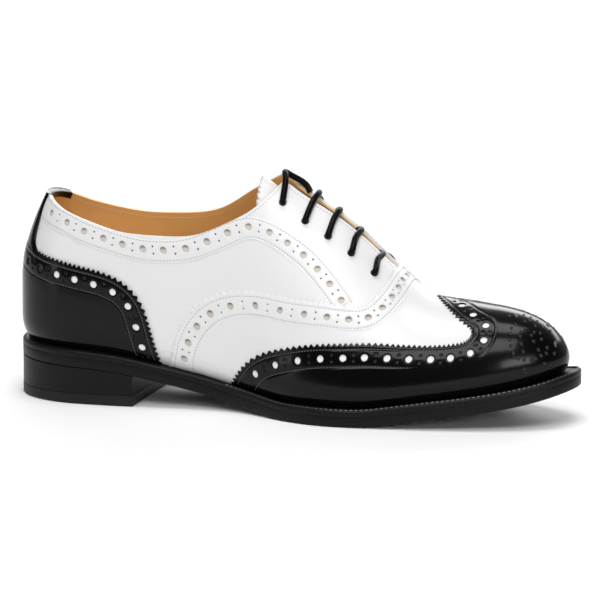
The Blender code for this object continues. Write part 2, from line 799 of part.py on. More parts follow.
def main():
    for piece in list(bpy.data.objects):
        bpy.data.objects.remove(piece)
    upper()
    wing_cap()
    heel_counter()
    back_strip()
    tongue()
    insole()
    welt()
    outsole()
    heel_stack()
    top_piece()
    lace()


main()
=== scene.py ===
"""Looks of a left spectator oxford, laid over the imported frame.

Leather sheets, punched and gimped bands, stitches, lace and sole edges all follow one last, a surface of two
parameters. `p` runs from the back seam (-1) round the heel (0), along the foot (1) to the tip of the toe (2).
`t` runs from the inner feather edge (-1) over the ridge (0) to the outer one (1). Lengths are in metres.
"""

import logging
import math
from collections.abc import Callable
from dataclasses import dataclass, field
from enum import Enum

import bmesh
import bpy
import numpy as np
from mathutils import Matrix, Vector

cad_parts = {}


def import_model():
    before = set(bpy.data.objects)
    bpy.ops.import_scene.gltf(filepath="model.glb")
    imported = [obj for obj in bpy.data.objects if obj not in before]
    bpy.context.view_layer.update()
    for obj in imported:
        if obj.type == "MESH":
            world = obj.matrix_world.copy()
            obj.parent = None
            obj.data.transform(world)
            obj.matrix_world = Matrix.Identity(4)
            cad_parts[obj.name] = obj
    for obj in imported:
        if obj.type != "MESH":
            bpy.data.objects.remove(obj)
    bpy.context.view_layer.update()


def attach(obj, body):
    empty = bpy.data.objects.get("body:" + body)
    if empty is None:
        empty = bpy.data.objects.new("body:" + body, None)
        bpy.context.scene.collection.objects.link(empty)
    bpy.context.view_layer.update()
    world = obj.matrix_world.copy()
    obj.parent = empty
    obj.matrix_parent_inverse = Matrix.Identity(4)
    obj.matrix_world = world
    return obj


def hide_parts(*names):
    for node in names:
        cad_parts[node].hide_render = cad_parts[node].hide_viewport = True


LOG = logging.getLogger("shoe")

# The sizes that part.py builds its solids from
OUTSOLE_LENGTH = 0.2745
OUTSOLE_THICKNESS = 0.0050
WELT_THICKNESS = 0.0029
WELT_REACH = 0.0045
WELT_LEDGE = 0.0015
HEEL_HEIGHT = 0.0189
HEEL_LENGTH = 0.0635
TOP_PIECE_THICKNESS = 0.0050
TOE_SPRING = 0.0178
INSOLE_RISE = 0.0012
BALL_WIDTH = 0.0870
INSTEP_HEIGHT = 0.1000
WALL = 0.0022
OVERLAY = 0.0012
HEEL_ROUND = 0.0360
FEATHER_TUCK = 0.0032
TUCK_HEIGHT = 0.0130
BACK_LEAN = 0.0105
THROAT_GAP = 0.0110
TONGUE_THICKNESS = 0.0024
TONGUE_DROP = 0.0088
TONGUE_SAG = 0.0040
LACE_DIAMETER = 0.0030
EYELET_DIAMETER = 0.0046
EYELET_PITCH = 0.0114
EYELETS_A_SIDE = 5
LACE_CLEARANCE = 0.0005
GAP = 0.0003
HEEL_POWER = 2.1
TOE_START = 0.60
INNER_TOE = (0.56, 2.4)
OUTER_TOE = (0.52, 2.2)
RIDGE_TOE = (0.865, 2.0)
LEAN_START = 0.30
LEAN_SPAN = 0.36
LEAN_FADE = 0.42
THROAT_END = 0.700
THROAT_POWER = 0.35
FIRST_EYELET = 0.489
EYELET_LINE = 0.705
TONGUE_TOP = 0.437
TONGUE_END = 0.722
TONGUE_SIDE = 0.60
TONGUE_TAPER = 0.45

# Columns: at, inner, outer, ridge, middle, inner_wall, outer_wall, top
SECTIONS = np.array((
    (0.00, 0.335, 0.335, 1.150, 0.000, 0.62, 0.62, 0.62),
    (0.12, 0.335, 0.335, 1.170, 0.000, 0.62, 0.62, 0.62),
    (0.24, 0.325, 0.340, 1.190, 0.000, 0.62, 0.62, 0.58),
    (0.36, 0.295, 0.365, 1.160, 0.000, 0.60, 0.60, 0.48),
    (0.44, 0.330, 0.395, 1.090, 0.000, 0.58, 0.54, 0.38),
    (0.52, 0.430, 0.440, 0.955, 0.000, 0.50, 0.48, 0.32),
    (0.60, 0.490, 0.495, 0.815, 0.000, 0.48, 0.46, 0.30),
    (0.68, 0.487, 0.535, 0.617, 0.000, 0.52, 0.48, 0.36),
    (0.72, 0.480, 0.540, 0.505, -0.004, 0.55, 0.50, 0.42),
    (0.76, 0.472, 0.535, 0.430, -0.010, 0.58, 0.52, 0.47),
    (0.82, 0.458, 0.515, 0.385, -0.020, 0.60, 0.55, 0.53),
    (0.88, 0.440, 0.480, 0.348, -0.034, 0.62, 0.58, 0.58),
    (1.00, 0.420, 0.440, 0.330, -0.055, 0.62, 0.62, 0.60),
))
# Columns: at, share of the heel height, share of the toe spring
SOLE_PROFILE = np.array((
    (0.000, 1.000, 0.000),
    (0.110, 0.940, 0.000),
    (0.230, 0.775, 0.000),
    (0.275, 0.640, 0.000),
    (0.345, 0.420, 0.000),
    (0.400, 0.235, 0.000),
    (0.450, 0.100, 0.000),
    (0.510, 0.000, 0.000),
    (0.600, 0.000, 0.000),
    (0.650, 0.000, 0.010),
    (0.700, 0.000, 0.110),
    (0.770, 0.000, 0.275),
    (0.840, 0.000, 0.430),
    (0.900, 0.000, 0.590),
    (0.950, 0.000, 0.770),
    (1.000, 0.000, 1.000),
))
# Columns: at, inner and outer margin of the sole as shares of the welt's reach
MARGINS = np.array((
    (0.00, 0.25, 0.25),
    (0.05, 0.50, 0.50),
    (0.25, 0.62, 0.62),
    (0.36, 0.50, 0.72),
    (0.46, 0.62, 0.82),
    (0.56, 0.96, 0.96),
    (0.70, 1.00, 1.00),
    (0.90, 1.15, 1.15),
    (1.00, 1.33, 1.33),
))
# Columns: at, inner and outer height of the collar as shares of the instep height
TOPLINE = np.array((
    (0.000, 0.692, 0.692),
    (0.030, 0.668, 0.658),
    (0.060, 0.645, 0.628),
    (0.090, 0.628, 0.609),
    (0.120, 0.612, 0.597),
    (0.190, 0.582, 0.594),
    (0.270, 0.606, 0.640),
    (0.340, 0.660, 0.724),
    (0.390, 0.745, 0.835),
    (0.430, 0.824, 0.920),
    (0.465, 0.920, 0.990),
    (0.500, 1.050, 1.060),
))
# Columns: at, share of the tongue's drop
TONGUE_DROPS = np.array(((0.437, 1.08), (0.520, 1.04), (0.640, 0.97), (0.685, 0.72), (0.722, 0.31)))
# Columns: up, at of the back strip's side edge
STRIP_SIDE = np.array((
    (0.00, 0.0600),
    (0.12, 0.0400),
    (0.22, 0.0280),
    (0.34, 0.0225),
    (0.60, 0.0165),
    (1.00, 0.0068),
))

# Lines of large holes, as shares of the length and of the way up from the feather edge
TOPLINE_HOLES = (
    (0.0365, 0.334), (0.079, 0.315), (0.120, 0.295), (0.161, 0.279), (0.200, 0.269), (0.240, 0.268),
    (0.278, 0.281), (0.319, 0.307), (0.358, 0.352), (0.396, 0.411), (0.434, 0.477), (0.473, 0.522),
    (0.507, 0.545), (0.538, 0.545), (0.566, 0.522), (0.591, 0.489), (0.615, 0.448),
)
VAMP_HOLES = (
    (0.3225, 0.028), (0.330, 0.069), (0.346, 0.115), (0.370, 0.159), (0.408, 0.202), (0.457, 0.247),
    (0.506, 0.292), (0.552, 0.326), (0.594, 0.352), (0.632, 0.382), (0.664, 0.439), (0.684, 0.535),
    (0.695, 0.646), (0.700, 0.756), (0.702, 0.860), (0.703, 0.965),
)
WING_HOLES = (
    (0.438, 0.004), (0.463, 0.055), (0.504, 0.111), (0.548, 0.154), (0.590, 0.184), (0.630, 0.210),
    (0.667, 0.238), (0.706, 0.263), (0.744, 0.282), (0.782, 0.289), (0.816, 0.296), (0.849, 0.335),
    (0.869, 0.455), (0.867, 0.622), (0.839, 0.750), (0.812, 0.880),
)
COUNTER_HOLES = (
    (0.0030, 0.2000), (0.0247, 0.1900), (0.0540, 0.1790), (0.0890, 0.1710), (0.1235, 0.1635),
    (0.1590, 0.1557), (0.1945, 0.1430), (0.2220, 0.1159), (0.2368, 0.0718), (0.2474, 0.0294),
)
# The toe's punched pattern, `up` from the feather edge, and whether the hole is one of the larger ones
MEDALLION = (
    (0.901, 0.809, 0), (0.915, 0.684, 0), (0.911, 0.622, 0), (0.910, 0.548, 0), (0.912, 0.477, 0),
    (0.915, 0.410, 0), (0.920, 0.335, 0), (0.929, 0.283, 0), (0.938, 0.270, 0), (0.949, 0.273, 0),
    (0.955, 0.288, 0), (0.963, 0.339, 0), (0.970, 0.391, 0), (0.927, 0.595, 0), (0.927, 0.537, 0),
    (0.931, 0.444, 0), (0.935, 0.361, 0), (0.932, 0.665, 0), (0.944, 0.590, 0), (0.949, 0.513, 0),
    (0.947, 0.658, 0), (0.956, 0.679, 0), (0.960, 0.583, 0), (0.970, 0.484, 0), (0.981, 0.441, 0),
    (0.958, 0.412, 0), (0.921, 0.927, 0), (0.933, 0.927, 0), (0.928, 0.787, 0), (0.935, 0.836, 0),
    (0.945, 0.914, 0), (0.946, 0.775, 0), (0.957, 0.837, 0), (0.968, 0.879, 0), (0.939, 0.172, 0),
    (0.942, 0.137, 0), (0.969, 0.234, 0), (0.978, 0.204, 0), (0.912, 0.850, 1), (0.962, 1.000, 1),
    (0.980, 0.658, 1),
)

SOLE_EDGE = OUTSOLE_THICKNESS + WELT_THICKNESS
LAST_START = WELT_REACH * MARGINS[0, 1]
LAST_LENGTH = OUTSOLE_LENGTH - LAST_START - WELT_REACH * MARGINS[-1, 1]
# Step of the numeric slopes, in p and t
STEP = 1e-4

# Lifts of the black leather and of the vamp off the last
BLACK_LIFT = 0.0015
VAMP_LIFT = 0.0006
# Radius of the holes cut for the lace, smaller than the solid's, so that the leather closes in on it
EYELET_RADIUS = 0.41 * EYELET_DIAMETER

# Edges sharper than this stay sharp under smooth shading
SHARP_ANGLE = math.radians(38)

# The camera, from the photo
CAMERA_AZIMUTH = 16.8
CAMERA_ELEVATION = 11.15
CAMERA_DISTANCE = 3.0
CAMERA_LENS = 381.2
CAMERA_TARGET = (-0.0004, -0.0008, 0.0498)


def spline(at: np.ndarray, values: np.ndarray, x: np.ndarray) -> np.ndarray:
    """Natural cubic through the points (at, values), read at x."""
    count = len(at)
    step = np.diff(at)
    matrix = np.eye(count)
    right = np.zeros(count)
    for i in range(1, count - 1):
        matrix[i, i - 1 : i + 2] = step[i - 1], 2 * (step[i - 1] + step[i]), step[i]
        right[i] = 6 * ((values[i + 1] - values[i]) / step[i] - (values[i] - values[i - 1]) / step[i - 1])
    bend = np.linalg.solve(matrix, right)
    i = np.clip(np.searchsorted(at, x) - 1, 0, count - 2)
    before, after, span = x - at[i], at[i + 1] - x, step[i]
    cubic = (bend[i] * after**3 + bend[i + 1] * before**3) / (6 * span)
    low = (values[i] / span - bend[i] * span / 6) * after
    return cubic + low + (values[i + 1] / span - bend[i + 1] * span / 6) * before


def table(rows: np.ndarray, name: int, x: np.ndarray) -> np.ndarray:
    """Reads one column of a table of sections, smoothly, at x."""
    return spline(rows[:, 0], rows[:, name], np.asarray(x, float))


def lattice(rows: int, columns: int) -> np.ndarray:
    """Quads between the points of a grid."""
    corner = np.arange((rows - 1) * columns).reshape(rows - 1, columns)[:, :-1].ravel()
    return np.stack([corner, corner + columns, corner + columns + 1, corner + 1], -1)


def hoops(rings: int, sides: int) -> np.ndarray:
    """Quads between rings of points that follow one another."""
    here = np.arange(sides)
    after = np.roll(here, -1)
    step = np.arange(rings - 1)[:, None] * sides
    return np.stack([here + step, after + step, after + step + sides, here + step + sides], -1).reshape(-1, 4)


def fan(sides: int) -> np.ndarray:
    """Quads from a middle point, number 0, to the ring of points round it."""
    pairs = np.arange(sides // 2) * 2
    ring = [1 + (pairs + ahead) % sides for ahead in range(3)]
    return np.stack([np.zeros_like(pairs), *ring], -1)


def circle(normal: np.ndarray, sides: int) -> np.ndarray:
    """Unit vectors all round a normal, the first one level."""
    turn = np.arange(sides)[:, None] * 2 * math.pi / sides
    level = np.cross(normal, (0, 0, 1.0))
    level /= np.linalg.norm(level)
    return np.cos(turn) * level + np.sin(turn) * np.cross(normal, level)


class Last:
    """The form that every piece of leather lies on, in the part's frame."""

    def __init__(self) -> None:
        self.origin = np.zeros(3)
        self.origin = self._middle()

    def _middle(self) -> np.ndarray:
        """The middle of the part's box, on the floor, measured from the sole's back."""
        p = np.linspace(-1, 2, 400)
        sole = np.concatenate([self.outline(p, -1), self.outline(p, 1)])
        back = self.at(np.full(60, -1.0), np.linspace(-1, -0.3, 60), GAP + OVERLAY)
        low = np.minimum(sole.min(axis=0), back[:, :2].min(axis=0))
        return np.append((low + sole.max(axis=0)) / 2, 0.0)

    @staticmethod
    def sole(x: np.ndarray) -> np.ndarray:
        """Height of the sole's underside, x from the sole's back."""
        heights = HEEL_HEIGHT * SOLE_PROFILE[:, 1] + TOE_SPRING * SOLE_PROFILE[:, 2]
        return np.maximum(spline(SOLE_PROFILE[:, 0], heights, np.clip(x / OUTSOLE_LENGTH, 0, 1)), 0)

    @staticmethod
    def _closing(share: np.ndarray, start: float, power: float) -> np.ndarray:
        """How open a section still is: 1 up to `start`, then rounding down to 0 at the toe's tip."""
        past = np.clip((share - start) / (1 - start), 0, 1)
        return np.sqrt(np.clip(1 - past**power, 0, 1))

    @staticmethod
    def station(p: np.ndarray) -> tuple[np.ndarray, np.ndarray]:
        """Distance from the back of the last, and how far the heel has widened there."""
        turn = np.clip(p + 1, 0, 1) * math.pi / 2
        start = TOE_START * LAST_LENGTH
        heel = HEEL_ROUND * (1 - np.cos(turn) ** (2 / HEEL_POWER))
        foot = HEEL_ROUND + np.clip(p, 0, 1) * (start - HEEL_ROUND)
        toe = start + (LAST_LENGTH - start) * np.sin(np.clip(p - 1, 0, 1) * math.pi / 2)
        return np.where(p < 0, heel, np.where(p < 1, foot, toe)), np.sin(turn) ** (2 / HEEL_POWER)

    @staticmethod
    def row(share: np.ndarray) -> np.ndarray:
        """The parameter p of a share of the last's length."""
        x = np.asarray(share, float) * LAST_LENGTH
        start = TOE_START * LAST_LENGTH
        foot = (x - HEEL_ROUND) / (start - HEEL_ROUND)
        heel = np.arccos(np.clip(1 - x / HEEL_ROUND, 0, 1) ** (HEEL_POWER / 2)) * 2 / math.pi - 1
        toe = 1 + np.arcsin(np.clip((x - start) / (LAST_LENGTH - start), 0, 1)) * 2 / math.pi
        return np.where(x < HEEL_ROUND, heel, np.where(x < start, foot, toe))

    def section(self, p: np.ndarray, side: np.ndarray, up: np.ndarray) -> tuple[np.ndarray, ...]:
        """Share of the length, width and height above the feather edge."""
        x, heel = self.station(p)
        share = x / LAST_LENGTH
        inner = side < 0
        half = np.where(inner, table(SECTIONS, 1, share), table(SECTIONS, 2, share))
        toe = np.where(inner, self._closing(share, *INNER_TOE), self._closing(share, *OUTER_TOE))
        width = half * BALL_WIDTH * heel * toe
        ridge = table(SECTIONS, 3, share) * INSTEP_HEIGHT * self._closing(share, *RIDGE_TOE)
        wall = np.where(inner, table(SECTIONS, 5, share), table(SECTIONS, 6, share))
        down = 1 - up
        across = width * (down**3 + 3 * down**2 * up + 3 * down * up**2 * table(SECTIONS, 7, share))
        return share, across, ridge * (3 * down**2 * up * wall + 3 * down * up**2 + up**3)

    def plain(self, p: np.ndarray, t: np.ndarray) -> tuple[np.ndarray, np.ndarray]:
        """The last without its tuck and seat, and the x of its stations."""
        p, t = np.broadcast_arrays(np.asarray(p, float), np.asarray(t, float))
        t = np.where(p < -1, -t, t)
        p = np.where(p < -1, -2 - p, p)
        side = np.where(t < 0, -1, 1)
        share, across, height = self.section(p, side, 1 - np.abs(t))
        lean = np.clip((height / INSTEP_HEIGHT - LEAN_START) / LEAN_SPAN, 0, 2) ** 1.7
        fade = 0.5 + 0.5 * np.cos(np.clip(share / LEAN_FADE, 0, 1) * math.pi)
        x = LAST_START + share * LAST_LENGTH
        middle = table(SECTIONS, 4, share) * BALL_WIDTH
        return np.stack([x + BACK_LEAN * lean * fade, middle + side * across, height], -1), x

    def normal(self, p: np.ndarray, t: np.ndarray) -> np.ndarray:
        """Outward unit normals."""
        near = np.minimum(p, 2 - 50 * STEP)
        ahead = self.plain(near + STEP, t)[0] - self.plain(near - STEP, t)[0]
        low = self.plain(near, np.maximum(t - STEP, -1))[0]
        normal = np.cross(ahead, self.plain(near, np.minimum(t + STEP, 1))[0] - low)
        normal /= np.maximum(np.linalg.norm(normal, axis=-1, keepdims=True), 1e-15)
        at_tip = np.broadcast_to(np.asarray(p) > 2 - STEP / 10, normal.shape[:-1])
        return np.where(at_tip[..., None], (1.0, 0.0, 0.0), normal)

    def at(self, p: np.ndarray, t: np.ndarray, lift: np.ndarray | float = 0.0) -> np.ndarray:
        """Points over the last, lifted off it and tucked in at the feather edge."""
        p, t = np.broadcast_arrays(np.asarray(p, float), np.asarray(t, float))
        point, x = self.plain(p, t)
        normal = self.normal(p, t)
        low = np.clip(1 - point[..., 2] / TUCK_HEIGHT, 0, 1)
        tuck = FEATHER_TUCK * low[..., None] ** 3 * normal * (1, 1, 0)
        point = point + np.broadcast_to(lift, p.shape)[..., None] * normal - tuck
        seat = self.sole(x + (point[..., 0] - x) * low) + SOLE_EDGE + GAP
        return point + seat[..., None] * (0, 0, 1) - self.origin

    def _up_where(
        self, p: np.ndarray, side: float, height: np.ndarray | None, width: np.ndarray | None
    ) -> np.ndarray:
        """How far up the section a height or a width is reached, by halving."""
        low, high = np.zeros_like(p), np.ones_like(p)
        for _ in range(40):
            middle = (low + high) / 2
            _, across, rise = self.section(p, np.full_like(p, side), middle)
            below = rise < height if width is None else across > width
            low, high = np.where(below, middle, low), np.where(below, high, middle)
        return middle

    def top_edge(self, p: np.ndarray, side: float) -> np.ndarray:
        """The collar, then the throat's edge, then the ridge of the closed vamp, as `up`."""
        share = self.station(p)[0] / LAST_LENGTH
        heights = table(TOPLINE, 1 if side < 0 else 2, np.clip(share, 0, TOPLINE[-1, 0]))
        collar = self._up_where(p, side, heights * INSTEP_HEIGHT, None)
        narrow = np.clip((THROAT_END - share) / (THROAT_END - FIRST_EYELET), 0, 1) ** THROAT_POWER
        throat = self._up_where(p, side, None, THROAT_GAP / 2 * narrow)
        throat = np.where(share < TONGUE_TOP, 1.0, throat)
        edge = np.where(share < TOPLINE[-1, 0], np.minimum(collar, throat), throat)
        return np.where(share > THROAT_END - 1e-6, 1.0, edge)

    def outline(self, p: np.ndarray, side: float, inset: float = 0.0) -> np.ndarray:
        """The sole's outline, outside the upper by the welt's margin, or that much further in."""
        p = np.asarray(p, float)
        near = np.clip(p, -1 + STEP, 2 - STEP)
        along = self.plain(near + STEP, side)[0] - self.plain(near - STEP, side)[0]
        out = np.stack([-along[:, 1], along[:, 0]], -1) * side
        out = np.where((p < -1 + STEP / 2)[:, None], (-1.0, 0.0), out)
        out /= np.linalg.norm(out, axis=1, keepdims=True)
        share = self.station(p)[0] / LAST_LENGTH
        margin = WELT_REACH * table(MARGINS, 1 if side < 0 else 2, share) - inset
        return self.plain(p, float(side))[0][:, :2] + margin[:, None] * out - self.origin[:2]

    def tongue(self, p: np.ndarray, t: np.ndarray) -> np.ndarray:
        """The tongue's upper face, straight below the last's ridge."""
        point, x = self.plain(p, t)
        share = (x - LAST_START) / LAST_LENGTH
        drop = TONGUE_DROP * table(TONGUE_DROPS, 1, share) + TONGUE_SAG * (t / (1 - TONGUE_SIDE)) ** 2
        return point + (self.sole(x) + SOLE_EDGE - drop)[..., None] * (0, 0, 1) - self.origin


LAST = Last()


class Slot(Enum):
    """The record's material slots."""

    WHITE = "white_leather"
    BLACK = "black_leather"
    TAN = "tan_lining"
    EDGE = "sole_edge"
    LACE = "lace"


@dataclass
class Look:
    """One procedural material.

    Args:
        name: of the material.
        color: base colour, linear.
        roughness: of the leather under its finish.
        coat: weight of the polish, with its own `coat_roughness`.
        grain: scale of the pores and strength of their bump.
        ripple: scale and strength of the broad unevenness.
        cloud: how much large soft patches change the colour.
        specular: strength of the leather's own reflection.
        attribute: the mesh attribute that gives the colour instead, if any.
    """

    name: str
    color: tuple[float, float, float]
    roughness: float
    coat: float = 0.0
    coat_roughness: float = 0.1
    grain: tuple[float, float] = (900.0, 0.08)
    ripple: tuple[float, float] = (60.0, 0.0)
    cloud: float = 0.0
    specular: float = 0.5
    attribute: str = ""

    def build(self) -> bpy.types.Material:
        """Makes the material, with all its textures in object coordinates."""
        material = bpy.data.materials.new(self.name)
        material.use_nodes = True
        tree = material.node_tree
        nodes, link = tree.nodes, tree.links.new
        shader = nodes["Principled BSDF"]
        for name, value in (
            ("Base Color", (*self.color, 1)),
            ("Roughness", self.roughness),
            ("Coat Weight", self.coat),
            ("Coat Roughness", self.coat_roughness),
            ("Specular IOR Level", self.specular),
        ):
            shader.inputs[name].default_value = value
        place = nodes.new("ShaderNodeTexCoord").outputs["Object"]
        if self.cloud:
            mix = nodes.new("ShaderNodeMix")
            mix.data_type = "RGBA"
            for name, change in (("A", 1 - self.cloud), ("B", 1 + self.cloud)):
                mix.inputs[name].default_value = (*(min(c * change, 1) for c in self.color), 1)
            link(self._noise(tree, place, 35.0, 4.0), mix.inputs["Factor"])
            link(mix.outputs["Result"], shader.inputs["Base Color"])
        if self.attribute:
            shade = nodes.new("ShaderNodeAttribute")
            shade.attribute_name = self.attribute
            link(shade.outputs["Color"], shader.inputs["Base Color"])
        grain = nodes.new("ShaderNodeTexVoronoi")
        grain.inputs["Scale"].default_value = self.grain[0]
        link(place, grain.inputs["Vector"])
        fine = self._bump(tree, grain.outputs["Distance"], self.grain[1], 0.0002)
        if self.ripple[1]:
            broad = self._bump(tree, self._noise(tree, place, self.ripple[0], 2.0), self.ripple[1], 0.001)
            link(broad.outputs["Normal"], fine.inputs["Normal"])
        for name in ("Normal", "Coat Normal"):
            link(fine.outputs["Normal"], shader.inputs[name])
        return material

    @staticmethod
    def _noise(
        tree: bpy.types.NodeTree, place: bpy.types.NodeSocket, scale: float, detail: float
    ) -> bpy.types.NodeSocket:
        """The grey value of a noise texture."""
        noise = tree.nodes.new("ShaderNodeTexNoise")
        noise.inputs["Scale"].default_value = scale
        noise.inputs["Detail"].default_value = detail
        tree.links.new(place, noise.inputs["Vector"])
        return noise.outputs["Fac"]

    @staticmethod
    def _bump(
        tree: bpy.types.NodeTree, height: bpy.types.NodeSocket, strength: float, distance: float
    ) -> bpy.types.Node:
        """A bump that follows a height."""
        bump = tree.nodes.new("ShaderNodeBump")
        bump.inputs["Strength"].default_value = strength
        bump.inputs["Distance"].default_value = distance
        tree.links.new(height, bump.inputs["Height"])
        return bump


class Finishes:
    """Every material of the scene, made once."""

    def __init__(self) -> None:
        looks = (
            Look("white_smooth", (0.72, 0.715, 0.72), 0.36, 0.15, 0.2, (1100, 0.05), (55, 0.10), 0.015),
            Look("black_polished", (0.002,) * 3, 0.20, 0.10, 0.05, (1100, 0.05), (70, 0.10), specular=0.15),
            Look("tan_lining", (0.74, 0.42, 0.14), 0.55, 0.05, 0.4, (700, 0.15), (50, 0.15), 0.10),
            # Its colour comes from the `shade` attribute: backing tones darkened by painted shade, and dark
            # discs of painted shade in the holes.
            Look("backing_and_painted_shade", (0.55, 0.49, 0.42), 0.7, attribute="shade"),
            Look("edge_black", (0.005,) * 3, 0.42, 0.0, 0.3, (900, 0.12), (90, 0.20), specular=0.16),
            Look("sole_under", (0.02, 0.019, 0.018), 0.55, 0.0, 0.4, (500, 0.2), (40, 0.2), 0.15),
            Look("rubber", (0.006,) * 3, 0.5, 0.0, 0.3, (1500, 0.3), specular=0.3),
            Look("white_thread", (0.34, 0.335, 0.33), 0.7),
            Look("black_thread", (0.07, 0.07, 0.072), 0.45),
            Look("welt_thread", (0.045,) * 3, 0.35),
            Look("tan_thread", (0.62, 0.48, 0.28), 0.7),
            Look("waxed_lace", (0.002,) * 3, 0.30, 0.0, 0.2, (1600, 0.3), (500, 0.2), specular=0.08),
        )
        self.by_name = {look.name: look.build() for look in looks}

    def __getitem__(self, name: str) -> bpy.types.Material:
        """The material of that name."""
        return self.by_name[name]


@dataclass
class Surface:
    """Points and quads that grow piece by piece into one mesh."""

    points: list[np.ndarray] = field(default_factory=list)
    quads: list[np.ndarray] = field(default_factory=list)
    slots: list[np.ndarray] = field(default_factory=list)
    shades: list[np.ndarray] = field(default_factory=list)
    count: int = 0

    def add(
        self, points: np.ndarray, quads: np.ndarray, slot: int = 0, shade: np.ndarray | None = None
    ) -> None:
        """Adds points with the quads between them, all in one material slot."""
        flat = points.reshape(-1, 3)
        self.points.append(flat)
        self.quads.append(np.asarray(quads) + self.count)
        self.slots.append(np.full(len(quads), slot))
        self.shades.append(np.ones((len(flat), 3)) if shade is None else shade.reshape(-1, 3))
        self.count += len(flat)

    def grid(self, points: np.ndarray, slot: int = 0, turned: bool = False) -> None:
        """Adds a grid of points, rows by columns."""
        quads = lattice(*points.shape[:2])
        self.add(points, quads[:, ::-1] if turned else quads, slot)

    def piece(self, name: str, materials: list[bpy.types.Material], weld: float = 2e-6) -> bpy.types.Object:
        """Makes the object, welded and smooth but for its sharp edges."""
        mesh = bpy.data.meshes.new(name)
        mesh.from_pydata(np.concatenate(self.points).tolist(), [], np.concatenate(self.quads).tolist())
        mesh.polygons.foreach_set("material_index", np.concatenate(self.slots).astype(np.int32))
        shade = mesh.color_attributes.new("shade", "FLOAT_COLOR", "POINT")
        colors = np.concatenate([np.concatenate(self.shades), np.ones((self.count, 1))], axis=1)
        shade.data.foreach_set("color", colors.astype(np.float32).ravel())
        if weld:
            shape = bmesh.new()
            shape.from_mesh(mesh)
            bmesh.ops.remove_doubles(shape, verts=shape.verts, dist=weld)
            shape.to_mesh(mesh)
            shape.free()
        mesh.shade_smooth()
        mesh.set_sharp_from_angle(angle=SHARP_ANGLE)
        for material in materials:
            mesh.materials.append(material)
        piece = bpy.data.objects.new(name, mesh)
        bpy.context.scene.collection.objects.link(piece)
        return piece


def fit(piece: bpy.types.Object, slot: Slot, *nodes: str) -> bpy.types.Object:
    """Puts the piece on the part's body, standing for the nodes named."""
    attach(piece, "root")
    if nodes:
        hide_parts(*nodes)
    return piece


